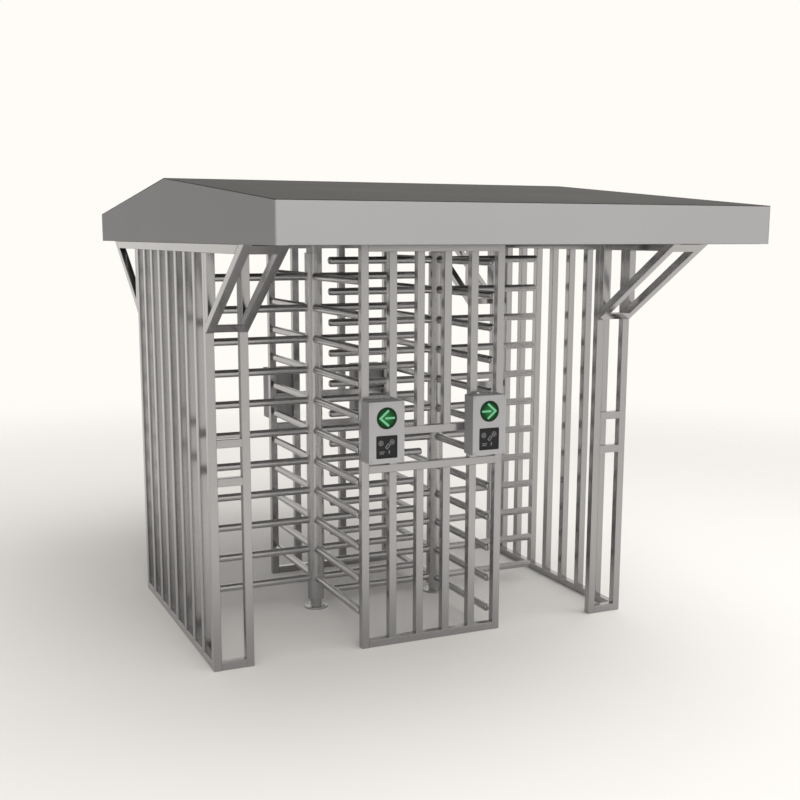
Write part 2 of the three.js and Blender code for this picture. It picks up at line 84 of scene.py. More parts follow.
TUBE = panel_high.y - panel_low.y
FRAME_TOP = panel_high.z
RAIL_BOTTOM = FRAME_TOP - TUBE
HALF_DEPTH = -panel_low.y
HALF_WIDTH = grille_high.x
JAMB_WIDTH = jamb_high.x - jamb_low.x
BRACE_START = brace_low.y
BRACE_FOOT = brace_low.z
BRACE_ANGLE = math.atan2(brace_high.z - brace_low.z, brace_high.y - brace_low.y)
SHEET = fascia_high.y - fascia_low.y
ROOF_RISE = slope_high.z - slope_low.z - SHEET
ROOF_SLOPE = ROOF_RISE / slope_high.y
COLUMN_TOP = wing_high.z
CORE_RADIUS = (core_high.x - core_low.x) / 2
JOINT_PLACES = {
    joint["name"]: Vector(joint["pos_m"]) for joint in frame["record"]["behaviour"]["joints"]
}
ARM_REACH = wing_high.x - JOINT_PLACES["right_rotor_spin"].x


class TurnstileSizes(bpy.types.PropertyGroup):
    """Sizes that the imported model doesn't state by itself."""

    corner: bpy.props.FloatProperty(
        name="Tube Corner", description="Outside corner radius of the square tube",
        default=0.0035, min=0.0005, unit="LENGTH",
    )
    weld: bpy.props.FloatProperty(
        name="Weld Bead", description="Radius of the weld bead round a joint",
        default=0.0016, min=0.0005, unit="LENGTH",
    )
    side_bars: bpy.props.IntProperty(
        name="Side Bars", description="Upright bars of a side grille, between the jambs",
        default=7, min=1,
    )
    panel_bars: bpy.props.IntProperty(
        name="Panel Bars", description="Upright bars of a centre panel", default=6, min=4,
    )
    lower_rail: bpy.props.FloatProperty(
        name="Lower Rail", description="Floor to the underside of the lower middle rail",
        default=0.892, unit="LENGTH",
    )
    upper_rail: bpy.props.FloatProperty(
        name="Upper Rail", description="Floor to the underside of the upper middle rail",
        default=1.074, unit="LENGTH",
    )
    arm_diameter: bpy.props.FloatProperty(
        name="Arm Diameter", description="Outside diameter of a rotor arm",
        default=0.04, unit="LENGTH",
    )
    arm_levels: bpy.props.IntProperty(
        name="Arm Levels", description="Arms in each wing of the right rotor", default=12, min=2,
    )
    lowest_arm: bpy.props.FloatProperty(
        name="Lowest Arm", description="Floor to the axis of the right rotor's lowest arm",
        default=0.089, unit="LENGTH",
    )
    highest_arm: bpy.props.FloatProperty(
        name="Highest Arm", description="Floor to the axis of the right rotor's highest arm",
        default=1.909, unit="LENGTH",
    )
    column_radius: bpy.props.FloatProperty(
        name="Column Radius", description="Outside radius of a rotor column",
        default=0.0445, unit="LENGTH",
    )
    core_bore: bpy.props.FloatProperty(
        name="Core Bore", description="Radius of the bore in a rotor core",
        default=0.022, unit="LENGTH",
    )
    wheel_radius: bpy.props.FloatProperty(
        name="Index Wheel Radius", description="Outside radius of an index wheel",
        default=0.07, unit="LENGTH",
    )


class TurnstileFinishes(bpy.types.PropertyGroup):
    """Colours of the surfaces, as linear values."""

    frame_colour: bpy.props.FloatVectorProperty(
        name="Frame Steel", description="Colour of the frame's satin steel",
        subtype="COLOR", default=(0.382, 0.378, 0.381), min=0, max=1,
    )
    rotor_colour: bpy.props.FloatVectorProperty(
        name="Rotor Steel", description="Colour of the rotors' satin steel",
        subtype="COLOR", default=(0.435, 0.431, 0.434), min=0, max=1,
    )
    sheet_colour: bpy.props.FloatVectorProperty(
        name="Canopy Sheet", description="Colour of the fascias and gables",
        subtype="COLOR", default=(0.318, 0.314, 0.317), min=0, max=1,
    )
    roof_colour: bpy.props.FloatVectorProperty(
        name="Canopy Top", description="Colour of the roof slopes",
        subtype="COLOR", default=(0.048, 0.047, 0.045), min=0, max=1,
    )
    box_colour: bpy.props.FloatVectorProperty(
        name="Box Enamel", description="Colour of the control boxes",
        subtype="COLOR", default=(0.4, 0.396, 0.4), min=0, max=1,
    )
    gear_colour: bpy.props.FloatVectorProperty(
        name="Gear Steel", description="Colour of the machined head gear",
        subtype="COLOR", default=(0.3, 0.3, 0.31), min=0, max=1,
    )
    lens_colour: bpy.props.FloatVectorProperty(
        name="Lamp Lens", description="Colour of the direction lamps' lens",
        subtype="COLOR", default=(0.006, 0.03, 0.009), min=0, max=1,
    )
    arrow_colour: bpy.props.FloatVectorProperty(
        name="Lamp Arrow", description="Colour of the lit arrow",
        subtype="COLOR", default=(0.16, 0.5, 0.27), min=0, max=1,
    )
    reader_colour: bpy.props.FloatVectorProperty(
        name="Reader Case", description="Colour of the card readers",
        subtype="COLOR", default=(0.012, 0.012, 0.013), min=0, max=1,
    )


# Materials

# The noise of the brushed lines: long along the tube, fine across it
GRAIN_SCALE = (5, 1300, 1)


class Graph:
    """The nodes of a material or a world, made with short calls."""

    def __init__(self, owner):
        self.owner = owner
        owner.use_nodes = True
        self.tree = owner.node_tree
        self.tree.nodes.clear()

    def add(self, kind, inputs=None, **settings):
        node = self.tree.nodes.new(kind)
        for key, value in settings.items():
            setattr(node, key, value)
        for key, value in (inputs or {}).items():
            if isinstance(value, bpy.types.NodeSocket):
                self.tree.links.new(value, node.inputs[key])
            else:
                node.inputs[key].default_value = value
        return node

    def noise(self, vector, scale, detail=2.0):
        inputs = {"Vector": vector, "Scale": scale, "Detail": detail}
        return self.add("ShaderNodeTexNoise", inputs).outputs["Fac"]

    def remap(self, value, low, high, start=0.3, stop=0.7):
        inputs = {0: value, 1: start, 2: stop, 3: low, 4: high}
        return self.add("ShaderNodeMapRange", inputs).outputs[0]

    def combine(self, operation, first, second):
        return self.add("ShaderNodeMath", {0: first, 1: second}, operation=operation).outputs[0]

    def bump(self, height, strength, distance):
        inputs = {"Strength": strength, "Distance": distance, "Height": height}
        return self.add("ShaderNodeBump", inputs).outputs[0]

    def object_place(self):
        return self.add("ShaderNodeTexCoord").outputs["Object"]

    def tint(self, factor, first, second):
        node = self.add("ShaderNodeMix", data_type="RGBA")
        self.tree.links.new(factor, node.inputs[0])
        node.inputs[6].default_value = (*first, 1)
        node.inputs[7].default_value = (*second, 1)
        return node.outputs[2]

    def surface(self, inputs):
        shader = self.add("ShaderNodeBsdfPrincipled", inputs)
        self.add("ShaderNodeOutputMaterial", {"Surface": shader.outputs[0]})
        return self.owner


def shade(colour, factor):
    return tuple(min(1.0, part * factor) for part in colour)


def satin_steel(name, colour, roughness, metallic, floor_shade_height):
    """Brushed metal whose fine lines run along each tube, with painted shade that darkens it
    towards the floor, up to a given height.
    """
    graph = Graph(bpy.data.materials.new(name))
    grain = graph.add("ShaderNodeUVMap", uv_map="Grain").outputs[0]
    stretched = graph.add("ShaderNodeMapping", {"Vector": grain, "Scale": GRAIN_SCALE})
    lines = graph.noise(stretched.outputs[0], scale=1.0)
    place = graph.object_place()
    cloud = graph.noise(place, scale=2.2, detail=4.0)
    handled = graph.noise(place, scale=9.0, detail=3.0)
    height = graph.add("ShaderNodeSeparateXYZ", {0: place}).outputs[2]
    # Painted shade: the colour darkens towards the floor up to the given height, standing in for
    # the floor's shade on the lower tubes; the cloud adds random tone.
    floor_shade_and_tone = graph.combine(
        "ADD", graph.remap(height, low=0.0, high=0.85, start=0.0, stop=floor_shade_height),
        graph.remap(cloud, low=0.0, high=0.15),
    )
    rough = graph.combine(
        "ADD", graph.remap(lines, low=-0.015, high=0.015),
        graph.remap(handled, low=roughness - 0.015, high=roughness + 0.025),
    )
    return graph.surface({
        "Base Color": graph.tint(floor_shade_and_tone, shade(colour, 0.88), shade(colour, 1.03)),
        "Metallic": metallic,
        "Roughness": rough,
        "Normal": graph.bump(lines, strength=0.06, distance=0.0001),
    })


def coated_sheet(name, colour, metallic, roughness, clouds):
    """Painted or enamelled sheet with a fine orange peel and faint weather marks."""
    graph = Graph(bpy.data.materials.new(name))
    place = graph.object_place()
    peel = graph.noise(place, scale=420.0, detail=2.0)
    cloud = graph.noise(place, scale=clouds, detail=5.0)
    return graph.surface({
        "Base Color": graph.tint(cloud, shade(colour, 0.95), shade(colour, 1.04)),
        "Metallic": metallic,
        "Roughness": graph.remap(cloud, low=roughness - 0.03, high=roughness + 0.03),
        "Specular IOR Level": 0.05,
        "Normal": graph.bump(peel, strength=0.03, distance=0.0002),
    })


def machined_steel(name, colour):
    """Turned and milled steel with a film of oil."""
    graph = Graph(bpy.data.materials.new(name))
    place = graph.object_place()
    marks = graph.noise(place, scale=260.0, detail=3.0)
    film = graph.noise(place, scale=14.0, detail=4.0)
    return graph.surface({
        "Base Color": graph.tint(film, shade(colour, 0.75), shade(colour, 1.15)),
        "Metallic": 1.0,
        "Roughness": graph.remap(film, low=0.28, high=0.45),
        "Normal": graph.bump(marks, strength=0.15, distance=0.0001),
    })


def glowing_lens(name, colour, glow):
    """A dark green lens that glows round its middle; its UV lies flat, in metres."""
    graph = Graph(bpy.data.materials.new(name))
    spread = graph.add("ShaderNodeUVMap", uv_map="Grain").outputs[0]
    away = graph.add("ShaderNodeVectorMath", {0: spread}, operation="LENGTH").outputs["Value"]
    warm = graph.remap(away, low=1.0, high=0.0, start=0.004, stop=0.045)
    speckle = graph.noise(graph.object_place(), scale=900.0)
    return graph.surface({
        "Base Color": graph.tint(warm, colour, shade(colour, 1.5)),
        "Roughness": 0.3,
        "Specular IOR Level": 0.06,
        "Emission Color": graph.tint(warm, shade(glow, 0.04), glow),
        "Emission Strength": 0.2,
        "Normal": graph.bump(speckle, strength=0.1, distance=0.0002),
    })


def lit_arrow(name, colour):
    """A lit arrow behind the lens, with faint cells."""
    graph = Graph(bpy.data.materials.new(name))
    place = graph.object_place()
    cells = graph.noise(place, scale=700.0, detail=1.0)
    return graph.surface({
        "Base Color": graph.tint(cells, shade(colour, 0.45), shade(colour, 0.55)),
        "Roughness": 0.4,
        "Specular IOR Level": 0.2,
        "Emission Color": graph.tint(cells, shade(colour, 0.85), colour),
        "Emission Strength": 0.62,
    })


def moulded_plastic(name, colour, roughness):
    """Black plastic with a fine leather grain and a little dust."""
    graph = Graph(bpy.data.materials.new(name))
    place = graph.object_place()
    leather = graph.noise(place, scale=1500.0, detail=2.0)
    dust = graph.noise(place, scale=40.0, detail=4.0)
    return graph.surface({
        "Base Color": graph.tint(dust, colour, shade(colour, 1.6)),
        "Roughness": graph.remap(dust, low=roughness, high=roughness + 0.1),
        "Specular IOR Level": 0.2,
        "Normal": graph.bump(leather, strength=0.25, distance=0.0002),
    })


def finish(key):
    """The material of a record slot, or of a trim piece, made on first use."""
    finishes = bpy.context.scene.turnstile_finishes
    name = key.replace("_", " ").capitalize()
    found = bpy.data.materials.get(name)
    if found:
        return found
    maker, colour, settings = {
        # The frame and rotor steel get painted shade near the floor, up to 0.7 m and 1.2 m.
        "frame_steel": (
            satin_steel, finishes.frame_colour, dict(roughness=0.18, metallic=0.94, floor_shade_height=0.7),
        ),
        "rotor_steel": (
            satin_steel, finishes.rotor_colour, dict(roughness=0.24, metallic=0.88, floor_shade_height=1.2),
        ),
        "canopy_sheet": (
            coated_sheet, finishes.sheet_colour, dict(metallic=0.0, roughness=0.5, clouds=1.6),
        ),
        "canopy_top": (
            coated_sheet, finishes.roof_colour, dict(metallic=0.0, roughness=0.6, clouds=1.6),
        ),
        "box_enamel": (
            coated_sheet, finishes.box_colour, dict(metallic=0.1, roughness=0.4, clouds=12.0),
        ),
        "gear_steel": (machined_steel, finishes.gear_colour, {}),
        "lamp_lens": (glowing_lens, finishes.lens_colour, dict(glow=(0.09, 0.6, 0.15))),
        "lamp_arrow": (lit_arrow, finishes.arrow_colour, {}),
        "reader_case": (moulded_plastic, finishes.reader_colour, dict(roughness=0.45)),
        "reader_print": (moulded_plastic, (0.13, 0.13, 0.133), dict(roughness=0.5)),
    }[key]
    return maker(name, colour, **settings)


# Shapes

CORNER_STEPS = 3
ROUND_FACETS = 64
ROTOR_FACETS = 96
ARM_FACETS = 28
SCREW_FACETS = 24
BEAD_SIDES = 6
# How far a bead's middle lies inside the surface, in shares of its radius
BEAD_SUNK = 0.75
SHARP_ANGLE = math.radians(35)
# Keeps an inset corner near its outline where the outline turns back sharply
MITRE_LIMIT = 0.5
# Between welded pieces, and between pieces that turn on each other
GAP = 0.0003
CLEARANCE = 0.0004
TINY = 1e-6


def arc(centre, radius, start, stop, steps):
    """Points on an arc, in degrees, both ends included."""
    points = []
    for step in range(steps + 1):
        angle = math.radians(start + (stop - start) * step / steps)
        points.append((
            centre[0] + radius * math.cos(angle),
            centre[1] + radius * math.sin(angle),
        ))
    return points


def circle(radius, facets=ROUND_FACETS, centre=(0, 0)):
    return arc(centre, radius, 0, 360, facets)[:-1]


def rounded_box(left, low, right, high, corner):
    """A rectangle with round corners, counted against the clock."""
    centres = (
        (right - corner, high - corner), (left + corner, high - corner),
        (left + corner, low + corner), (right - corner, low + corner),
    )
    points = []
    for quarter, centre in enumerate(centres):
        points += arc(centre, corner, 90 * quarter, 90 * quarter + 90, CORNER_STEPS)
    return points


def rounded(loop, corner):
    """Any outline with its corners rounded to one radius."""
    points = []
    count = len(loop)
    for index, point in enumerate(loop):
        here = Vector(point)
        back = (Vector(loop[index - 1]) - here).normalized()
        ahead = (Vector(loop[(index + 1) % count]) - here).normalized()
        half = back.angle(ahead) / 2
        centre = here + (back + ahead).normalized() * (corner / math.sin(half))
        first = here + back * (corner / math.tan(half)) - centre
        last = here + ahead * (corner / math.tan(half)) - centre
        for step in range(CORNER_STEPS + 1):
            share = step / CORNER_STEPS
            spoke = (first * (1 - share) + last * share).normalized() * corner
            points.append(tuple(centre + spoke))
    return points


def inset(loop, distance):
    """The outline moved to its left, which is into the plate."""
    moved = []
    count = len(loop)
    for index, point in enumerate(loop):
        here = Vector(point)
        before = (here - Vector(loop[index - 1])).normalized()
        after = (Vector(loop[(index + 1) % count]) - here).normalized()
        left = Vector((-before.y - after.y, before.x + after.x))
        mitre = distance * 2 / max(left.length_squared, MITRE_LIMIT)
        moved.append((here.x + left.x * mitre, here.y + left.y * mitre))
    return moved


def backwards(loop):
    return list(reversed(loop))


class Shell:
    """Closed shells in one mesh, each with a grain that runs along its length."""

    def __init__(self):
        self.mesh = bmesh.new()
        self.grain = self.mesh.loops.layers.uv.new("Grain")

    def face(self, corners, places):
        """Adds a face, with its grain's place at each corner."""
        for loop, place in zip(self.mesh.faces.new(corners).loops, places):
            loop[self.grain].uv = place

    def skin(self, rings, closed=False, around=False):
        """Joins rings of points into one shell; a ring of one point is a pole.

        A closed skin joins its last ring to the first. The grain runs from ring
        to ring, or around the rings.
        """
        loops = [[self.mesh.verts.new(point) for point in ring] for ring in rings]
        widest = max(rings, key=len)
        turns = [0.0]
        for index, point in enumerate(widest):
            following = Vector(widest[(index + 1) % len(widest)])
            turns.append(turns[-1] + (following - Vector(point)).length)
        travel = 0.0
        count = len(loops)
        for index in range(count if closed else count - 1):
            near, far = loops[index], loops[(index + 1) % count]
            step = (Vector(rings[(index + 1) % count][0]) - Vector(rings[index][0])).length
            self.band(near, far, travel, travel + step, turns, around)
            travel += step
        if not closed:
            for ring in (loops[0], loops[-1]):
                if len(ring) > 2:
                    self.face(ring, [(travel, turn) for turn in turns[:-1]])

    def band(self, near, far, start, stop, turns, around):
        """Adds the faces between two rings, which are triangles beside a pole."""
        count = max(len(near), len(far))
        for index in range(count):
            after = (index + 1) % count
            corners = []
            for ring, travel in ((near, start), (far, stop)):
                span = ((index, 0), (after, 1)) if ring is near else ((after, 1), (index, 0))
                if len(ring) == 1:
                    span = ((0, 0),)
                for vertex, ahead in span:
                    place = (travel, turns[index + ahead])
                    corners.append((ring[vertex], place[::-1] if around else place))
            self.face([vertex for vertex, _ in corners], [place for _, place in corners])

    def bar(self, start, end, across, size, corner, cuts=(None, None)):
        """A square tube from start to end, with its two ends cut along planes."""
        start, end, across = Vector(start), Vector(end), Vector(across)
        axis = (end - start).normalized()
        upward = axis.cross(across)
        half_width, half_height = size[0] / 2, size[1] / 2
        section = rounded_box(-half_width, -half_height, half_width, half_height, corner)
        rings = []
        for place, cut in ((start, cuts[0]), (end, cuts[1])):
            normal = cut or axis
            ring = []
            for u, v in section:
                point = place + across * u + upward * v
                ring.append(point - axis * ((point - place).dot(normal) / axis.dot(normal)))
            rings.append(ring)
        self.skin(rings)
        return rings

    def bead(self, path, faces, radius):
        """A weld bead along a closed path; faces holds the surface's normals.

        No bead goes below the floor, or further out than the side grilles.
        """
        count = len(path)
        rings = []
        for index in range(count):
            ahead = Vector(path[(index + 1) % count]) - Vector(path[index - 1])
            normal = Vector(faces[index])
            side = ahead.normalized().cross(normal)
            ring = []
            for step in range(BEAD_SIDES):
                angle = 2 * math.pi * step / BEAD_SIDES
                offset = normal * math.cos(angle) + side * math.sin(angle)
                point = Vector(path[index]) + offset * radius
                point.z = max(point.z, 0)
                point.x = min(max(point.x, -HALF_WIDTH), HALF_WIDTH)
                ring.append(point)
            rings.append(ring)
        self.skin(rings, closed=True)

    def welded_bar(self, start, end, across, size, sizes, cuts=(None, None), welds=(True, True)):
        """A square tube with a low bead, ground nearly flush, round its ends."""
        rings = self.bar(start, end, across, size, sizes.corner, cuts)
        axis = (Vector(end) - Vector(start)).normalized()
        for ring, cut, place, wanted in zip(rings, cuts, (start, end), welds):
            if wanted:
                normal = (cut or axis).normalized()
                sunk = [
                    point + (Vector(place) - point).normalized() * (sizes.weld * BEAD_SUNK)
                    for point in ring
                ]
                self.bead(sunk, [normal] * len(ring), sizes.weld)

    def turned(self, origin, axis, profile, facets=ROUND_FACETS, hollow=False, around=False):
        """A profile of distance along the axis and radius, turned round the axis.

        A hollow profile is a closed outline; any other one starts and ends on
        the axis, or with a flat end.
        """
        origin, axis = Vector(origin), Vector(axis)
        side = axis.orthogonal().normalized()
        other = axis.cross(side)
        rings = []
        for along, radius in profile:
            middle = origin + axis * along
            if radius < TINY:
                rings.append([middle])
                continue
            rings.append([middle + side * u + other * v for u, v in circle(radius, facets)])
        self.skin(rings, closed=hollow, around=around)

    def plate(self, loops, low, high, edge, place):
        """A flat plate: an outline and its holes, with eased edges, put in place."""
        rings = []
        for loop in loops:
            levels = [
                (inset(loop, edge), low), (loop, low + edge),
                (loop, high - edge), (inset(loop, edge), high),
            ]
            rings.append([
                [self.mesh.verts.new(place(u, v, w)) for u, v in points]
                for points, w in levels
            ])
        for loop, levels in zip(loops, rings):
            for near, far in zip(levels, levels[1:]):
                for index in range(len(loop)):
                    after = (index + 1) % len(loop)
                    corners = [near[index], near[after], far[after], far[index]]
                    places = [loop[index], loop[after], loop[after], loop[index]]
                    self.face(corners, places)
        flat = [point for loop in loops for point in loop]
        for level in (0, 3):
            vertices = [vertex for levels in rings for vertex in levels[level]]
            outlines = [
                [Vector((*point, 0)) for point in inset(loop, edge)] for loop in loops
            ]
            for triangle in tessellate_polygon(outlines):
                self.face([vertices[i] for i in triangle], [flat[i] for i in triangle])

    def piece(self, name, body, key, replaces=()):
        """Ends the mesh and puts it on its body."""
        bmesh.ops.remove_doubles(self.mesh, verts=self.mesh.verts, dist=TINY)
        bmesh.ops.dissolve_degenerate(self.mesh, edges=self.mesh.edges, dist=TINY)
        bmesh.ops.recalc_face_normals(self.mesh, faces=self.mesh.faces)
        data = bpy.data.meshes.new(name)
        self.mesh.to_mesh(data)
        self.mesh.free()
        data.shade_smooth()
        data.set_sharp_from_angle(angle=SHARP_ANGLE)
        data.materials.append(finish(key))
        made = bpy.data.objects.new(name, data)
        bpy.context.scene.collection.objects.link(made)
        even = made.modifiers.new("Even Shading", "WEIGHTED_NORMAL")
        even.keep_sharp = True
        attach(made, body)
        if replaces:
            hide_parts(*replaces)
        return made


def along_x(facing=1):
    """Puts an outline's Y and Z, and its thickness along X."""
    return lambda u, v, w: Vector((w, facing * u, v))


def along_y(facing, x=0, z=0):
    """Puts an outline's X and Z, and its thickness out from the middle along Y."""
    return lambda u, v, w: Vector((x + u, facing * w, z + v))


def along_z(x=0, y=0):
    """Puts an outline's X and Y, and its thickness along Z."""
    return lambda u, v, w: Vector((x + u, y + v, w))


# Fixed grilles, panels and jambs

class TURNSTILE_OT_side_grilles(bpy.types.Operator):
    """Builds both side grilles of upright bars between two rails"""

    bl_idname = "turnstile.side_grilles"
    bl_label = "Side Grilles"
    bl_options = {"REGISTER", "UNDO"}

    def execute(self, context):
        sizes = context.scene.turnstile_sizes
        for hand, side in HANDS:
            self.build_grille(hand, side, sizes)
        return {"FINISHED"}

    def build_grille(self, hand, side, sizes):
        shell = Shell()
        x = side * (HALF_WIDTH - TUBE / 2)
        square = (TUBE, TUBE)
        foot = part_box(f"{hand}_side_grille")[0].y
        reach = -foot - (TUBE / 2) / math.tan(BRACE_ANGLE)
        top = FRAME_TOP - TUBE / 2
        rise, run = math.sin(BRACE_ANGLE), math.cos(BRACE_ANGLE)
        cuts = (Vector((0, rise, run)), Vector((0, rise, -run)))
        shell.bar((x, -reach, top), (x, reach, top), X_AXIS, square, sizes.corner, cuts)
        inner = HALF_DEPTH - TUBE
        low = TUBE / 2
        shell.welded_bar((x, -inner, low), (x, inner, low), X_AXIS, square, sizes)
        pitch = (2 * HALF_DEPTH - TUBE) / (sizes.side_bars + 1)
        for bar in range(1, sizes.side_bars + 1):
            y = -HALF_DEPTH + bar * pitch + TUBE / 2
            shell.welded_bar((x, y, TUBE), (x, y, RAIL_BOTTOM), X_AXIS, square, sizes)
        node = f"{hand}_side_grille"
        shell.piece(f"{node}_bars", "frame", "frame_steel", [node])


class TURNSTILE_OT_centre_panels(bpy.types.Operator):
    """Builds the front and the rear centre panel with their middle rails"""

    bl_idname = "turnstile.centre_panels"
    bl_label = "Centre Panels"
    bl_options = {"REGISTER", "UNDO"}

    def execute(self, context):
        sizes = context.scene.turnstile_sizes
        for end, facing in ENDS:
            self.build_panel(end, facing, sizes)
        return {"FINISHED"}

    def build_panel(self, end, facing, sizes):
        shell = Shell()
        node = f"{end}_centre_panel"
        low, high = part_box(node)
        y = facing * (HALF_DEPTH - TUBE / 2)
        square = (TUBE, TUBE)
        pitch = (high.x - low.x - TUBE) / (sizes.panel_bars - 1)
        middles = [low.x + TUBE / 2 + bar * pitch for bar in range(sizes.panel_bars)]
        closed_top = abs(high.z - FRAME_TOP) < TINY
        rails = [0.0, sizes.lower_rail, sizes.upper_rail] + ([RAIL_BOTTOM] if closed_top else [])
        for x in (middles[0], middles[-1]):
            shell.bar((x, y, 0), (x, y, high.z), X_AXIS, square, sizes.corner)
        left, right = middles[0] + TUBE / 2, middles[-1] - TUBE / 2
        for rail in rails:
            z = rail + TUBE / 2
            shell.welded_bar((left, y, z), (right, y, z), Y_AXIS, square, sizes)
        centre = sizes.panel_bars // 2 - 1
        for bar in range(1, sizes.panel_bars - 1):
            spans = list(zip(rails, rails[1:])) + ([] if closed_top else [(rails[-1], None)])
            for bottom, top in spans:
                if bar in (centre, centre + 1) and bottom == sizes.lower_rail:
                    continue
                stop = high.z if top is None else top
                ends = (middles[bar], y, bottom + TUBE), (middles[bar], y, stop)
                shell.welded_bar(*ends, X_AXIS, square, sizes, welds=(True, top is not None))
        shell.piece(f"{node}_bars", "frame", "frame_steel", [node])


class TURNSTILE_OT_jambs(bpy.types.Operator):
    """Builds the four ladder jambs beside the walkways"""

    bl_idname = "turnstile.jambs"
    bl_label = "Jambs"
    bl_options = {"REGISTER", "UNDO"}

    def execute(self, context):
        sizes = context.scene.turnstile_sizes
        for end, facing in ENDS:
            for hand, side in HANDS:
                self.build_jamb(f"{end}_{hand}_jamb", side, facing, sizes)
        return {"FINISHED"}

    def build_jamb(self, node, side, facing, sizes):
        shell = Shell()
        y = facing * (HALF_DEPTH - TUBE / 2)
        square = (TUBE, TUBE)
        outer = side * (HALF_WIDTH - TUBE / 2)
        inner = side * (HALF_WIDTH - JAMB_WIDTH + TUBE / 2)
        inner_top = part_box(node)[1].z
        outer_top = RAIL_BOTTOM
        shell.welded_bar(
            (outer, y, 0), (outer, y, outer_top), X_AXIS, square, sizes, welds=(False, True),
        )
        shell.bar((inner, y, 0), (inner, y, inner_top), X_AXIS, square, sizes.corner)
        for rung in (0.0, sizes.lower_rail, sizes.upper_rail):
            z = rung + TUBE / 2
            ends = (outer - side * TUBE / 2, y, z), (inner + side * TUBE / 2, y, z)
            shell.welded_bar(*ends, Y_AXIS, square, sizes)
        shell.piece(f"{node}_ladder", "frame", "frame_steel", [node])


class TURNSTILE_OT_braces(bpy.types.Operator):
    """Builds the four inclined ladder braces under the eaves"""

    bl_idname = "turnstile.braces"
    bl_label = "Braces"
    bl_options = {"REGISTER", "UNDO"}

    def execute(self, context):
        sizes = context.scene.turnstile_sizes
        for end, facing in ENDS:
            for hand, side in HANDS:
                self.build_brace(f"{end}_{hand}_brace", side, facing, sizes)
        return {"FINISHED"}

    def build_brace(self, node, side, facing, sizes):
        shell = Shell()
        square = (TUBE, TUBE)
        slope = math.tan(BRACE_ANGLE)
        length = TUBE / math.sin(BRACE_ANGLE)
        height = TUBE / math.cos(BRACE_ANGLE)
        run = (FRAME_TOP - BRACE_FOOT) / slope
        foot = Vector((0, facing * BRACE_START, BRACE_FOOT + height / 2))
        head = Vector((0, facing * (BRACE_START + run - length / 2), FRAME_TOP))
        upright = BRACE_START + TUBE / 2
        rest = BRACE_FOOT + (upright - BRACE_START + length) * slope
        lean = Vector((0, -facing * math.sin(BRACE_ANGLE), math.cos(BRACE_ANGLE)))
        outer = side * (HALF_WIDTH - TUBE / 2)
        inner = side * (HALF_WIDTH - JAMB_WIDTH + TUBE / 2)
        for x, top in ((outer, RAIL_BOTTOM - GAP), (inner, FRAME_TOP)):
            shift = Vector((x, 0, 0))
            shell.bar(
                foot + shift, head + shift, X_AXIS, square, sizes.corner,
                cuts=(Y_AXIS * facing, Z_AXIS),
            )
            ends = (x, facing * upright, rest), (x, facing * upright, top)
            shell.bar(*ends, X_AXIS, square, sizes.corner, cuts=(lean, None))
        rungs = [
            [
                (BRACE_START, BRACE_FOOT),
                (BRACE_START + TUBE / slope, BRACE_FOOT + TUBE),
                (BRACE_START, BRACE_FOOT + TUBE),
            ],
            [
                (BRACE_START + run - TUBE / slope, RAIL_BOTTOM),
                (BRACE_START + run, FRAME_TOP),
                (BRACE_START + run - length, FRAME_TOP),
                (BRACE_START + run - TUBE / slope - length, RAIL_BOTTOM),
            ],
        ]
        low, high = sorted((outer - side * TUBE / 2, inner + side * TUBE / 2))
        for rung in rungs:
            shell.plate(
                [rounded(rung, sizes.corner)], low - sizes.corner, high + sizes.corner,
                TINY * 10, along_x(facing),
            )
        shell.piece(f"{node}_ladder", "frame", "frame_steel", [node])


# Roof frame and canopy

def under_roof(y):
    """Height of the roof sheet's underside, from the truss that it lies on."""
    return truss_high.z - abs(y) * ROOF_SLOPE


class TURNSTILE_OT_roof_frame(bpy.types.Operator):
    """Builds the two trusses, the ridge beam and the two header beams"""

    bl_idname = "turnstile.roof_frame"
    bl_label = "Roof Frame"
    bl_options = {"REGISTER", "UNDO"}

    def execute(self, context):
        sizes = context.scene.turnstile_sizes
        for hand, _ in HANDS:
            self.build_truss(hand, sizes)
        for node in ("ridge_beam", "front_header_beam", "rear_header_beam"):
            self.build_beam(node, sizes)
        return {"FINISHED"}

    def build_beam(self, node, sizes):
        shell = Shell()
        low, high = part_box(node)
        middle = (low + high) / 2
        size = (high.y - low.y, high.z - low.z)
        ends = (low.x, middle.y, middle.z), (high.x, middle.y, middle.z)
        shell.welded_bar(*ends, Y_AXIS, size, sizes)
        shell.piece(f"{node}_tube", "frame", "frame_steel", [node])

    def build_truss(self, hand, sizes):
        shell = Shell()
        node = f"{hand}_roof_truss"
        low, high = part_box(node)
        x = (low.x + high.x) / 2
        square = (TUBE, TUBE)
        end = high.y
        chord = low.z + TUBE / 2
        shell.bar((x, -end, chord), (x, end, chord), X_AXIS, square, sizes.corner)
        drop = TUBE * math.hypot(1, ROOF_SLOPE)
        for facing in (-1, 1):
            eaves = Vector((x, facing * end, under_roof(end) - drop / 2))
            ridge = Vector((x, 0, under_roof(0) - drop / 2))
            shell.bar(eaves, ridge, X_AXIS, square, sizes.corner, (Y_AXIS, Y_AXIS))
            y = facing * (end - TUBE / 2)
            foot = (x, y, low.z + TUBE)
            head = (x, y, under_roof(end - TUBE / 2) - drop)
            lean = Vector((0, facing * ROOF_SLOPE, 1)).normalized()
            shell.welded_bar(foot, head, X_AXIS, square, sizes, cuts=(None, lean))
        foot, head = (x, 0, low.z + TUBE), (x, 0, under_roof(0) - drop)
        shell.welded_bar(foot, head, X_AXIS, square, sizes, welds=(True, False))
        shell.piece(f"{node}_tubes", "frame", "frame_steel", [node])


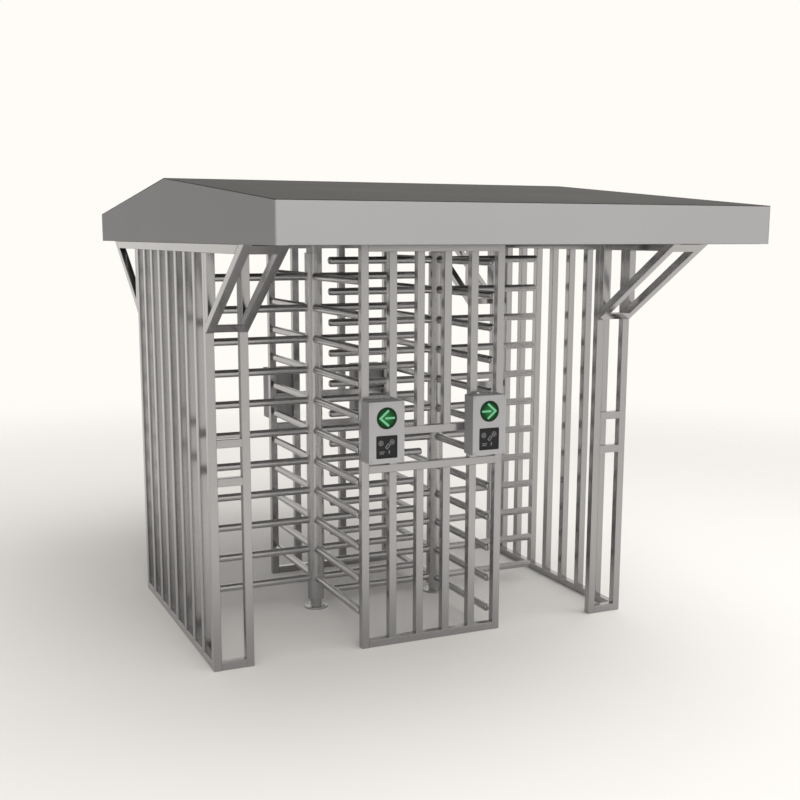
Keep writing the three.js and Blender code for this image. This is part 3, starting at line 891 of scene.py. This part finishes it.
class TURNSTILE_OT_canopy(bpy.types.Operator):
    """Builds the roof slopes, the fascias and the gables of folded sheet"""

    bl_idname = "turnstile.canopy"
    bl_label = "Canopy"
    bl_options = {"REGISTER", "UNDO"}

    edge = 0.0012
    lip = 0.022

    def execute(self, context):
        for end, facing in ENDS:
            self.build_slope(f"{end}_roof_slope", facing)
            self.build_fascia(f"{end}_fascia", facing)
        for hand, _ in HANDS:
            self.build_gable(f"{hand}_gable")
        return {"FINISHED"}

    def build_slope(self, node, facing):
        shell = Shell()
        low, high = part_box(node)
        length = math.hypot(slope_high.y, ROOF_RISE)
        down = Vector((0, facing * slope_high.y, -ROOF_RISE)) / length
        outward = Vector((0, facing * ROOF_RISE, slope_high.y)) / length
        ridge = Vector((0, 0, high.z))
        loop = rounded_box(low.x, 0, high.x, length, self.edge)
        shell.plate(
            [loop], -SHEET, 0, self.edge,
            lambda u, v, w: ridge + X_AXIS * u + down * v + outward * w,
        )
        shell.piece(f"{node}_sheet", "frame", "canopy_top", [node])

    def build_fascia(self, node, facing):
        shell = Shell()
        low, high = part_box(node)
        loop = rounded_box(low.x, low.z, high.x, high.z, self.edge)
        shell.plate([loop], low.y, high.y, self.edge, along_y(1))
        outer = high.y if facing > 0 else low.y
        along = sorted((outer, outer - facing * self.lip))
        reach = truss_low.x - SHEET
        lip = rounded_box(-reach, along[0], reach, along[1], self.edge)
        shell.plate([lip], low.z, low.z + SHEET, self.edge, along_z())
        shell.piece(f"{node}_sheet", "frame", "canopy_sheet", [node])

    def build_gable(self, node):
        shell = Shell()
        low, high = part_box(node)
        eaves = under_roof(high.y)
        outline = [(low.y, low.z), (high.y, low.z), (high.y, eaves), (0, high.z), (low.y, eaves)]
        shell.plate([rounded(outline, self.edge)], low.x, high.x, self.edge, along_x())
        shell.piece(f"{node}_sheet", "frame", "canopy_sheet", [node])


# Rotors and pedestals

def joint_centre(joint):
    """Where a joint's axis meets the floor."""
    place = JOINT_PLACES[joint]
    return Vector((place.x, place.y, 0))


class TURNSTILE_OT_rotors(bpy.types.Operator):
    """Builds the two rotor columns and their eight wings of round arms"""

    bl_idname = "turnstile.rotors"
    bl_label = "Rotors"
    bl_options = {"REGISTER", "UNDO"}

    tip = 0.013
    tip_steps = 6
    chamfer = 0.0015
    bead_scale = 1.3
    arm_root = 0.006

    def execute(self, context):
        sizes = context.scene.turnstile_sizes
        pitch = (sizes.highest_arm - sizes.lowest_arm) / (sizes.arm_levels - 1)
        levels = {
            "left": [sizes.lowest_arm + (i + 0.5) * pitch for i in range(sizes.arm_levels - 1)],
            "right": [sizes.lowest_arm + i * pitch for i in range(sizes.arm_levels)],
        }
        for hand, _ in HANDS:
            centre = joint_centre(f"{hand}_rotor_spin")
            self.build_column(hand, centre, sizes)
            for wing in range(WINGS):
                outward = Matrix.Rotation(math.pi / 2 * wing, 3, "Z") @ X_AXIS
                node = f"{hand}_wing_{wing + 1}"
                self.build_wing(node, hand, outward, levels[hand], sizes)
        return {"FINISHED"}

    def build_column(self, hand, centre, sizes):
        shell = Shell()
        bore, core, column = sizes.core_bore, CORE_RADIUS, sizes.column_radius
        foot, head = core_low.z, core_high.z
        ease = self.chamfer
        profile = [
            (foot, bore), (foot, column - ease), (foot + ease, column),
            (COLUMN_TOP - ease, column), (COLUMN_TOP, column - ease), (COLUMN_TOP, core),
            (head - ease, core), (head, core - ease), (head, bore),
        ]
        shell.turned(centre, Z_AXIS, profile, ROTOR_FACETS, hollow=True)
        shell.piece(
            f"{hand}_rotor_column", f"{hand}_rotor", "rotor_steel",
            [f"{hand}_rotor_core"],
        )

    def build_wing(self, node, hand, outward, levels, sizes):
        shell = Shell()
        centre = joint_centre(f"{hand}_rotor_spin")
        radius = sizes.arm_diameter / 2
        start = sizes.column_radius - self.arm_root
        profile = [(start, radius)]
        for along, out in arc((0, 0), self.tip, 90, 0, self.tip_steps):
            profile.append((ARM_REACH - self.tip + along, radius - self.tip + out))
        for level in levels:
            origin = centre + Z_AXIS * level
            shell.turned(origin, outward, profile, ARM_FACETS)
            self.add_saddle(shell, origin, outward, radius, sizes)
        shell.piece(f"{node}_arms", f"{hand}_rotor", "rotor_steel", [node])

    def add_saddle(self, shell, origin, outward, radius, sizes):
        """The weld where a round arm meets the round column."""
        across = Z_AXIS.cross(outward)
        path, faces = [], []
        for u, v in circle(radius, ARM_FACETS):
            depth = math.sqrt(sizes.column_radius ** 2 - u ** 2)
            path.append(origin + across * u + Z_AXIS * v + outward * depth)
            faces.append((across * u + outward * depth) / sizes.column_radius)
        shell.bead(path, faces, sizes.weld * self.bead_scale)


class TURNSTILE_OT_pedestals(bpy.types.Operator):
    """Builds the two floor pedestals with their flange, spindle and anchors"""

    bl_idname = "turnstile.pedestals"
    bl_label = "Pedestals"
    bl_options = {"REGISTER", "UNDO"}

    flange_thickness = 0.012
    flange_round = 0.005
    flange_steps = 6
    neck_radius = 0.032
    fillet = 0.003
    fillet_steps = 4
    spindle_chamfer = 0.004
    anchors = 4
    anchor_circle = 0.049
    anchor_radius = 0.0065

    def execute(self, context):
        sizes = context.scene.turnstile_sizes
        for hand, _ in HANDS:
            low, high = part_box(f"{hand}_floor_pedestal")
            centre = joint_centre(f"{hand}_rotor_spin")
            self.build_pedestal(hand, centre, (high.x - low.x) / 2, high.z, sizes)
            self.build_anchors(hand, centre)
        return {"FINISHED"}

    def build_pedestal(self, hand, centre, flange, top, sizes):
        shell = Shell()
        neck_top = core_low.z - GAP
        spindle = sizes.core_bore - CLEARANCE
        thickness = self.flange_thickness
        rim = (flange - self.flange_round, thickness - self.flange_round)
        corner = (self.neck_radius + self.fillet, thickness + self.fillet)
        curves = (
            arc(rim, self.flange_round, 0, 90, self.flange_steps)
            + arc(corner, self.fillet, 270, 180, self.fillet_steps)
        )
        profile = [
            (0, 0), (0, flange), *((up, out) for out, up in curves),
            (neck_top, self.neck_radius), (neck_top, spindle),
            (top - self.spindle_chamfer, spindle), (top, spindle - self.spindle_chamfer), (top, 0),
        ]
        shell.turned(centre, Z_AXIS, profile, ROTOR_FACETS, around=True)
        node = f"{hand}_floor_pedestal"
        shell.piece(f"{node}_turning", "frame", "rotor_steel", [node])

    def build_anchors(self, hand, centre):
        shell = Shell()
        for out in spokes(self.anchors, self.anchor_circle, math.pi / self.anchors):
            add_socket_screw(shell, centre + out, Z_AXIS, self.flange_thickness, self.anchor_radius)
        shell.piece(f"{hand}_pedestal_anchors", "frame", "gear_steel")


def spokes(count, radius, first=0.0):
    """Places evenly round the middle of a level circle."""
    angles = [first + 2 * math.pi * spoke / count for spoke in range(count)]
    return [Vector((math.cos(angle), math.sin(angle), 0)) * radius for angle in angles]


# Sizes of a screw head, in shares of its radius
SCREW_HEIGHT = 0.35
SCREW_EDGE = 0.6 * SCREW_HEIGHT
SCREW_TOP = 0.85
SCREW_SOCKET = 0.5


def add_socket_screw(shell, base, axis, seat, radius):
    """A low screw head with a hexagon socket, standing on a face."""
    origin, axis = Vector(base), Vector(axis)
    side = axis.orthogonal().normalized()
    other = axis.cross(side)

    def ring(along, reach):
        middle = origin + axis * (seat + along * radius)
        return [
            middle + (side * u + other * v) * (reach(math.atan2(v, u)) * radius)
            for u, v in circle(1, SCREW_FACETS)
        ]

    def flat(angle):
        """The socket's hexagon, as a distance from the middle."""
        turn = angle % (math.pi / 3) - math.pi / 6
        return SCREW_SOCKET * math.cos(math.pi / 6) / math.cos(turn)

    shell.skin([
        ring(-SCREW_HEIGHT, lambda angle: 1), ring(SCREW_EDGE, lambda angle: 1),
        ring(SCREW_HEIGHT, lambda angle: SCREW_TOP), ring(SCREW_HEIGHT, flat), ring(0, flat),
    ], around=True)


# Control boxes

class TURNSTILE_OT_control_boxes(bpy.types.Operator):
    """Builds the four control boxes with their covers, lamps and readers"""

    bl_idname = "turnstile.control_boxes"
    bl_label = "Control Boxes"
    bl_options = {"REGISTER", "UNDO"}

    corner = 0.004
    wall = 0.0025
    edge = 0.0008
    screw_inset = 0.011
    screw_radius = 0.003
    lamp_rim = 0.0035
    rim_ease = 0.001
    rim_bevel = 0.0008
    lens_gap = 0.0002
    lens_depth = 0.0012
    lens_rings = 8
    # The arrow's shape, in shares of the lamp's radius
    arrow_reach = 0.8
    arrow_back = 0.12
    shaft_end = 0.18
    stroke = 0.011
    shaft_stroke = 0.9
    arrow_corner = 0.0012
    arrow_edge = 0.0002
    arrow_proud = 0.0006
    reader_border = 0.007
    border_depth = 0.004
    border_edge = 0.001
    face_depth = 0.0015
    face_edge = 0.0005
    # The reader's marks, in shares of half its width
    targets = ((-0.56, 0.36), (0.5, 0.42))
    target_rings = ((0.24, 0.17), (0.11, 0.03))
    card_place = Vector((0.08, 0.06))
    card_turn = math.radians(50)
    card_half = (0.24, 0.15)
    card_border = 0.08
    card_corners = (0.04, 0.03)
    bars = (
        (0.17, -0.62, 0.29, -0.3, 0.04),
        (-0.72, -0.46, -0.2, -0.38, 0.03),
        (-0.72, -0.62, -0.28, -0.54, 0.03),
    )
    mark_facets = 32
    print_edge = 0.0001
    print_proud = 0.0003
    # How far the arrow and the marks start below the face that they stand on
    sunk = 0.001

    def execute(self, context):
        for end, facing in ENDS:
            for hand, side in HANDS:
                name = f"{end}_{hand}"
                self.build_housing(name, facing)
                self.build_cover(name, facing)
                self.build_lamp(name, facing, side)
                self.build_reader(name, facing)
        return {"FINISHED"}

    def build_housing(self, name, facing):
        node = f"{name}_box_housing"
        low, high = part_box(node)
        shell = Shell()
        back, front = sorted((low.y * facing, high.y * facing))
        place = along_y(facing)
        outer = rounded_box(low.x, low.z, high.x, high.z, self.corner)
        inner = rounded_box(
            low.x + self.wall, low.z + self.wall, high.x - self.wall, high.z - self.wall,
            self.corner - self.wall,
        )
        shell.plate([outer, backwards(inner)], back, front, self.edge / 2, place)
        shell.plate([outer], back, back + self.wall, self.edge / 2, place)
        shell.piece(f"{node}_case", "frame", "box_enamel", [node])

    def build_cover(self, name, facing):
        node = f"{name}_box_cover"
        low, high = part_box(node)
        shell = Shell()
        near, far = sorted((low.y * facing, high.y * facing))
        lamp_low, lamp_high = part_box(f"{name}_direction_lamp")
        reader_low, reader_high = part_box(f"{name}_card_reader")
        centre = ((lamp_low.x + lamp_high.x) / 2, (lamp_low.z + lamp_high.z) / 2)
        outer = rounded_box(low.x, low.z, high.x, high.z, self.corner)
        lamp = circle((lamp_high.x - lamp_low.x) / 2 + CLEARANCE, ROUND_FACETS, centre)
        reader = rounded_box(
            reader_low.x - CLEARANCE, reader_low.z - CLEARANCE,
            reader_high.x + CLEARANCE, reader_high.z + CLEARANCE, self.corner,
        )
        holes = [backwards(lamp), backwards(reader)]
        shell.plate([outer, *holes], near, far, self.edge, along_y(facing))
        shell.piece(f"{node}_plate", "frame", "box_enamel", [node])
        screws = Shell()
        for x in (low.x + self.screw_inset, high.x - self.screw_inset):
            for z in (low.z + self.screw_inset, high.z - self.screw_inset):
                add_socket_screw(screws, (x, 0, z), Y_AXIS * facing, far, self.screw_radius)
        screws.piece(f"{name}_cover_screws", "frame", "gear_steel")

    def build_lamp(self, name, facing, pointing):
        node = f"{name}_direction_lamp"
        low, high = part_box(node)
        back, front = sorted((low.y * facing, high.y * facing))
        x, z = (low.x + high.x) / 2, (low.z + high.z) / 2
        radius = (high.x - low.x) / 2
        lens_radius = radius - self.lamp_rim
        rim = Shell()
        profile = [
            (back, lens_radius), (back, radius),
            (front - self.rim_ease, radius), (front, radius - self.rim_ease),
            (front, lens_radius + self.rim_bevel), (front - self.rim_bevel, lens_radius),
        ]
        rim.turned((x, 0, z), Y_AXIS * facing, profile, hollow=True)
        rim.piece(f"{name}_lamp_rim", "frame", "reader_case")
        lens = Shell()
        edge = lens_radius - self.lens_gap
        profile = [(back, 0), (back, edge)]
        for ring in range(self.lens_rings + 1):
            profile.append((front - self.lens_depth, edge * (1 - ring / self.lens_rings)))
        lens.turned((x, 0, z), Y_AXIS * facing, profile)
        face = lens.piece(f"{node}_lens", "frame", "lamp_lens", [node])
        self.spread_grain(face, x, z)
        place = along_y(facing, x, z)
        self.build_arrow(name, place, front - self.lens_depth, pointing, radius)

    def spread_grain(self, lens, x, z):
        """Lays the lens's UV flat about its centre, in metres."""
        layer = lens.data.uv_layers["Grain"].data
        for loop in lens.data.loops:
            point = lens.data.vertices[loop.vertex_index].co
            layer[loop.index].uv = (point.x - x, point.z - z)

    def build_arrow(self, name, place, face, pointing, radius):
        """A chevron and a shaft that point along X, to the walkway that they serve."""
        shell = Shell()
        tip = reach = self.arrow_reach * radius
        back = -self.arrow_back * radius
        slant = math.hypot(tip - back, reach)
        out = (reach / slant, (tip - back) / slant)
        inner = (back - out[0] * self.stroke, reach - out[1] * self.stroke)
        chevron = [
            (tip, 0), (back, reach), inner, (tip - self.stroke / out[0], 0),
            (inner[0], -inner[1]), (back, -reach),
        ]
        half = self.stroke * self.shaft_stroke / 2
        shaft = rounded_box(-tip, -half, self.shaft_end * radius, half, self.arrow_corner)
        for loop in (rounded(chevron, self.arrow_corner), shaft):
            turned = [(pointing * u, v) for u, v in loop]
            if signed_area(turned) < 0:
                turned = backwards(turned)
            levels = face - self.sunk, face + self.arrow_proud
            shell.plate([turned], *levels, self.arrow_edge, place)
        shell.piece(f"{name}_lamp_arrow", "frame", "lamp_arrow")

    def build_reader(self, name, facing):
        node = f"{name}_card_reader"
        low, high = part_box(node)
        back, front = sorted((low.y * facing, high.y * facing))
        x, z = (low.x + high.x) / 2, (low.z + high.z) / 2
        half = (high.x - low.x) / 2
        place = along_y(facing, x, z)
        body = Shell()
        outer = rounded_box(-half, -half, half, half, self.corner)
        border = half - self.reader_border
        recess = rounded_box(-border, -border, border, border, self.corner)
        frame_loops = [outer, backwards(recess)]
        body.plate(frame_loops, front - self.border_depth, front, self.border_edge, place)
        face = front - self.face_depth
        body.plate([outer], back, face, self.face_edge, place)
        body.piece(f"{node}_case", "frame", "reader_case", [node])
        self.build_marks(name, place, face, half)

    def build_marks(self, name, place, face, half):
        """Plain marks of a reader's face: two targets, a card and three bars."""
        marks = Shell()
        loops = []
        for centre in self.targets:
            for outer, inner in self.target_rings:
                loops.append([
                    circle(outer, self.mark_facets, centre),
                    backwards(circle(inner, self.mark_facets, centre)),
                ])
        turn = Matrix.Rotation(self.card_turn, 2)
        width, height = self.card_half
        outer_corner, hole_corner = self.card_corners
        hole_width, hole_height = width - self.card_border, height - self.card_border
        card = (
            rounded_box(-width, -height, width, height, outer_corner),
            backwards(rounded_box(-hole_width, -hole_height, hole_width, hole_height, hole_corner)),
        )
        loops.append([
            [tuple(turn @ Vector(point) + self.card_place) for point in loop] for loop in card
        ])
        loops += [[rounded_box(*bar)] for bar in self.bars]
        for outline in loops:
            scaled = [[(u * half, v * half) for u, v in loop] for loop in outline]
            levels = face - self.sunk, face + self.print_proud
            marks.plate(scaled, *levels, self.print_edge, place)
        marks.piece(f"{name}_reader_marks", "frame", "reader_print")


def signed_area(loop):
    """More than 0 for an outline that runs against the clock."""
    total = 0.0
    for (u, v), (p, q) in zip(loop, loop[1:] + loop[:1]):
        total += u * q - p * v
    return total / 2


# Head gear

class TURNSTILE_OT_head_gear(bpy.types.Operator):
    """Builds the head bridges, bearings, index wheels and lock pawls"""

    bl_idname = "turnstile.head_gear"
    bl_label = "Head Gear"
    bl_options = {"REGISTER", "UNDO"}

    plate = 0.006
    plate_corner = 0.0025
    ease = 0.001
    edge = 0.0008
    bridge_hole = 0.004
    boss_radius = 0.014
    boss_root = 0.002
    pin_radius = 0.008
    pin_height = 0.017
    pin_facets = 48
    clip_levels = (0.0125, 0.0137)
    clip_width = 0.0035
    bearing_gap = 0.0006
    race_width = 0.006
    seat_depth = 0.003
    bearing_screws = 6
    bearing_screw_radius = 0.004
    pawl_reach = 0.095
    pawl_width = 0.02
    tooth_width = 0.014
    tooth_depth = 0.032
    eye_steps = 24
    swing = math.radians(14)
    notch = (0.028, 0.022)
    rim_steps = 16

    def execute(self, context):
        sizes = context.scene.turnstile_sizes
        for hand, _ in HANDS:
            centre = joint_centre(f"{hand}_rotor_spin")
            self.build_bridge(hand, centre)
            self.build_bearing(hand, centre)
            self.build_wheel(hand, centre, sizes.wheel_radius)
            self.build_pawl(hand)
        return {"FINISHED"}

    def build_bridge(self, hand, centre):
        node = f"{hand}_head_bridge"
        low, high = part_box(node)
        shell = Shell()
        half = (high.x - low.x) / 2
        inner = half - self.plate
        floor = low.z + self.plate
        profile = [
            (-half, low.z), (half, low.z), (half, high.z), (inner, high.z),
            (inner, floor), (-inner, floor), (-inner, high.z), (-half, high.z),
        ]
        shell.plate(
            [rounded(profile, self.plate_corner)], low.y, high.y, self.plate / 10,
            along_y(1, centre.x),
        )
        bridge = shell.piece(f"{node}_channel", "frame", "frame_steel", [node])
        hole = Shell()
        reach = CORE_RADIUS + self.bridge_hole
        hole.turned(centre, Z_AXIS, [(low.z - self.plate, reach), (floor + self.plate / 2, reach)])
        cut_away(bridge, hole)
        self.build_pivot(hand, floor)

    def build_pivot(self, hand, floor):
        """The boss and pin that a lock pawl swings on, with a ring that keeps it there."""
        pivot = joint_centre(f"{hand}_lock_swing")
        post = Shell()
        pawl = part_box(f"{hand}_lock_pawl")[0].z
        foot, seat, top = floor - self.boss_root, pawl - GAP, pawl + self.pin_height
        post.turned(pivot, Z_AXIS, [
            (foot, 0), (foot, self.boss_radius), (seat - self.ease, self.boss_radius),
            (seat, self.boss_radius - self.ease), (seat, self.pin_radius),
            (top - self.ease, self.pin_radius), (top, self.pin_radius - self.ease), (top, 0),
        ], around=True)
        inner, outer = self.pin_radius - self.ease, self.pin_radius + self.clip_width
        low, high = (pawl + level for level in self.clip_levels)
        ring = [(low, inner), (low, outer), (high, outer), (high, inner)]
        post.turned(pivot, Z_AXIS, ring, hollow=True, around=True)
        post.piece(f"{hand}_pawl_pivot", "frame", "gear_steel")

    def build_bearing(self, hand, centre):
        node = f"{hand}_top_bearing"
        low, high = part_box(node)
        shell = Shell()
        outer = (high.x - low.x) / 2
        bore = CORE_RADIUS + self.bearing_gap
        race = bore + self.race_width
        ease = self.ease
        seat = high.z - self.seat_depth
        shell.turned(centre, Z_AXIS, [
            (low.z, bore), (low.z, outer - ease), (low.z + ease, outer), (seat - ease, outer),
            (seat, outer - ease), (seat, race + ease), (seat, race),
            (high.z, race - ease), (high.z, bore + ease), (high.z - ease, bore),
        ], hollow=True, around=True)
        for out in spokes(self.bearing_screws, (outer + race) / 2):
            add_socket_screw(shell, centre + out, Z_AXIS, seat, self.bearing_screw_radius)
        shell.piece(f"{node}_ring", "frame", "gear_steel", [node])

    def build_wheel(self, hand, centre, radius):
        node = f"{hand}_index_wheel"
        low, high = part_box(node)
        shell = Shell()
        width, depth = self.notch
        half_angle = math.degrees(math.asin(width / 2 / radius))
        loop = []
        for notch in range(WINGS):
            turn = Matrix.Rotation(math.pi / 2 * notch, 2)
            for edge in (-width / 2, width / 2):
                loop.append(tuple(turn @ Vector((radius - depth, edge))))
            start, stop = 90 * notch + half_angle, 90 * notch + 90 - half_angle
            loop += arc((0, 0), radius, start, stop, self.rim_steps)
        hole = circle(CORE_RADIUS + GAP)
        shell.plate([loop, backwards(hole)], low.z, high.z, self.edge, along_z(centre.x))
        shell.piece(f"{node}_plate", f"{hand}_rotor", "gear_steel", [node])

    def build_pawl(self, hand):
        node = f"{hand}_lock_pawl"
        low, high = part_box(node)
        shell = Shell()
        half = self.pawl_width / 2
        eye = self.boss_radius
        lean = math.degrees(math.asin(half / eye))
        end = -self.pawl_reach - self.tooth_width / 2
        start = -self.pawl_reach + self.tooth_width / 2
        outline = [
            (end, -self.tooth_depth), (start, -self.tooth_depth), (start, -half),
            *arc((0, 0), eye, 180 + lean, 540 - lean, self.eye_steps), (end, half),
        ]
        hole = backwards(circle(self.pin_radius + CLEARANCE, self.pin_facets))
        turn = Matrix.Rotation(-self.swing, 2)
        loops = [[tuple(turn @ Vector(point)) for point in loop] for loop in (outline, hole)]
        pivot = joint_centre(f"{hand}_lock_swing")
        shell.plate(loops, low.z, high.z, self.edge, along_z(pivot.x, pivot.y))
        shell.piece(f"{node}_lever", f"{hand}_lock", "gear_steel", [node])


def cut_away(made, tool_shell):
    """Cuts a shell out of a piece and keeps the piece's finish."""
    bmesh.ops.recalc_face_normals(tool_shell.mesh, faces=tool_shell.mesh.faces)
    data = bpy.data.meshes.new("Tool")
    tool_shell.mesh.to_mesh(data)
    tool_shell.mesh.free()
    tool = bpy.data.objects.new("Tool", data)
    bpy.context.scene.collection.objects.link(tool)
    cut = made.modifiers.new("Cut", "BOOLEAN")
    cut.object = tool
    cut.solver = "EXACT"
    made.modifiers.move(1, 0)
    bpy.context.view_layer.update()
    graph = bpy.context.evaluated_depsgraph_get()
    even = made.modifiers[1]
    even.show_viewport = False
    graph.update()
    result = bpy.data.meshes.new_from_object(made.evaluated_get(graph))
    made.modifiers.remove(cut)
    even.show_viewport = True
    made.data = result
    bpy.data.objects.remove(tool)


# Stage

class TURNSTILE_OT_stage(bpy.types.Operator):
    """Makes the pale floor, the soft lamps, the sky and the camera"""

    bl_idname = "turnstile.stage"
    bl_label = "Stage"
    bl_options = {"REGISTER", "UNDO"}

    camera_place = (-2.4864, -5.749, 2.0417)
    camera_yaw = math.radians(23.866)
    camera_pitch = math.radians(-9.748)
    camera_roll = math.radians(0.055)
    camera_shift = (0.01806, 0.0392)
    focal_pixels = 1140.99
    picture_pixels = 800
    sensor = 36.0
    backdrop = (1.0, 0.975, 0.93, 1.0)
    light_tone = (1.0, 0.99, 0.975, 1.0)
    light_from = (0.43, -0.9, 0.0)
    floor_tones = ((0.82, 0.8, 0.775), (0.83, 0.81, 0.785))
    floor_radius = 9.2
    # Distances from the middle between which the floor fades into the backdrop
    fade = (3.5, 9.0)
    # Name, place, diameter in metres and power in watts
    lamps = (
        ("Key lamp", (1.3, -0.8, 6.4), 5.5, 182.0),
        ("Fill lamp", (-1.6, -6.8, 5.0), 5.0, 90.0),
    )
    lamps_aim = Vector((0, 0, 0.9))

    def execute(self, context):
        scene = context.scene
        scene.view_settings.view_transform = "Standard"
        self.make_camera(scene)
        self.make_floor(scene)
        self.make_world(scene)
        self.make_lamps(scene)
        return {"FINISHED"}

    def make_camera(self, scene):
        data = bpy.data.cameras.new("View")
        data.sensor_fit = "HORIZONTAL"
        data.sensor_width = self.sensor
        data.lens = self.focal_pixels / self.picture_pixels * self.sensor
        data.shift_x, data.shift_y = self.camera_shift
        data.clip_start = 0.05
        data.clip_end = 200
        camera = bpy.data.objects.new("View", data)
        turn = (
            Matrix.Rotation(-self.camera_yaw, 4, "Z")
            @ Matrix.Rotation(math.pi / 2 + self.camera_pitch, 4, "X")
            @ Matrix.Rotation(self.camera_roll, 4, "Z")
        )
        camera.matrix_world = Matrix.Translation(self.camera_place) @ turn
        scene.collection.objects.link(camera)
        scene.camera = camera

    def make_floor(self, scene):
        """A floor that takes the shadow and fades into the backdrop."""
        graph = Graph(bpy.data.materials.new("Pale floor"))
        place = graph.object_place()
        away = graph.add("ShaderNodeVectorMath", {0: place}, operation="LENGTH").outputs["Value"]
        fade = graph.add("ShaderNodeMapRange", {
            0: away, 1: self.fade[0], 2: self.fade[1], 3: 0.0, 4: 1.0,
        }, interpolation_type="SMOOTHSTEP").outputs[0]
        wear = graph.noise(place, scale=3.0, detail=4.0)
        paint = graph.add("ShaderNodeBsdfDiffuse", {
            "Color": graph.tint(wear, *self.floor_tones),
        })
        clear = graph.add("ShaderNodeBsdfTransparent")
        mixed = graph.add("ShaderNodeMixShader", {
            0: fade, 1: paint.outputs[0], 2: clear.outputs[0],
        })
        graph.add("ShaderNodeOutputMaterial", {"Surface": mixed.outputs[0]})
        mesh = bmesh.new()
        bmesh.ops.create_circle(mesh, cap_ends=True, radius=self.floor_radius, segments=96)
        data = bpy.data.meshes.new("Floor")
        mesh.to_mesh(data)
        mesh.free()
        data.materials.append(graph.owner)
        floor = bpy.data.objects.new("Floor", data)
        scene.collection.objects.link(floor)

    def make_world(self, scene):
        """The soft light, and the pale backdrop that the camera, metal and glass show."""
        scene.world = bpy.data.worlds.new("Studio")
        graph = Graph(scene.world)
        toward = graph.add("ShaderNodeTexCoord").outputs["Generated"]
        soft = graph.add("ShaderNodeBackground", {
            "Color": self.light_tone, "Strength": self.soft_light(graph, toward),
        })
        pale = graph.add("ShaderNodeBackground", {"Color": self.backdrop, "Strength": 1.0})
        path = graph.add("ShaderNodeLightPath").outputs
        through = graph.combine("MAXIMUM", path["Is Camera Ray"], path["Is Transmission Ray"])
        seen = graph.combine("MAXIMUM", through, path["Is Glossy Ray"])
        mixed = graph.add("ShaderNodeMixShader", {
            0: seen, 1: soft.outputs[0], 2: pale.outputs[0],
        })
        graph.add("ShaderNodeOutputWorld", {"Surface": mixed.outputs[0]})

    def soft_light(self, graph, toward):
        """Light of the pale surroundings, brightest from the front right."""
        facing = graph.add("ShaderNodeVectorMath", {
            0: toward, 1: self.light_from,
        }, operation="DOT_PRODUCT").outputs["Value"]
        side = graph.remap(facing, low=0.0, high=1.35, start=-0.35, stop=0.9)
        up = graph.add("ShaderNodeSeparateXYZ", {0: toward}).outputs[2]
        overhead = graph.remap(up, low=0.05, high=0.65, start=0.3, stop=0.9)
        return graph.combine("ADD", side, overhead)

    def make_lamps(self, scene):
        """Two broad lamps that the metal doesn't mirror."""
        for name, place, size, power in self.lamps:
            data = bpy.data.lights.new(name, "AREA")
            data.shape = "DISK"
            data.size = size
            data.energy = power
            lamp = bpy.data.objects.new(name, data)
            lamp.visible_glossy = False
            aim = self.lamps_aim - Vector(place)
            lamp.rotation_euler = aim.to_track_quat("-Z", "Y").to_euler()
            lamp.location = place
            scene.collection.objects.link(lamp)


class TURNSTILE_PT_build(bpy.types.Panel):
    """Lists the operators in the order in which they run"""

    bl_label = "Turnstile"
    bl_space_type = "VIEW_3D"
    bl_region_type = "UI"
    bl_category = "Turnstile"

    def draw(self, context):
        for settings in (context.scene.turnstile_sizes, context.scene.turnstile_finishes):
            column = self.layout.column()
            for name in settings.__annotations__:
                column.prop(settings, name)
        for operator in OPERATORS:
            self.layout.operator(operator.bl_idname)


OPERATORS = (
    TURNSTILE_OT_stage,
    TURNSTILE_OT_side_grilles,
    TURNSTILE_OT_centre_panels,
    TURNSTILE_OT_jambs,
    TURNSTILE_OT_braces,
    TURNSTILE_OT_roof_frame,
    TURNSTILE_OT_canopy,
    TURNSTILE_OT_rotors,
    TURNSTILE_OT_pedestals,
    TURNSTILE_OT_control_boxes,
    TURNSTILE_OT_head_gear,
)
CLASSES = (TurnstileSizes, TurnstileFinishes, *OPERATORS, TURNSTILE_PT_build)


def register():
    for item in CLASSES:
        bpy.utils.register_class(item)
    bpy.types.Scene.turnstile_sizes = bpy.props.PointerProperty(type=TurnstileSizes)
    bpy.types.Scene.turnstile_finishes = bpy.props.PointerProperty(type=TurnstileFinishes)


def unregister():
    del bpy.types.Scene.turnstile_finishes
    del bpy.types.Scene.turnstile_sizes
    for item in reversed(CLASSES):
        bpy.utils.unregister_class(item)


def main():
    register()
    for operator in OPERATORS:
        category, name = operator.bl_idname.split(".")
        getattr(getattr(bpy.ops, category), name)()


if __name__ == "__main__":
    main()
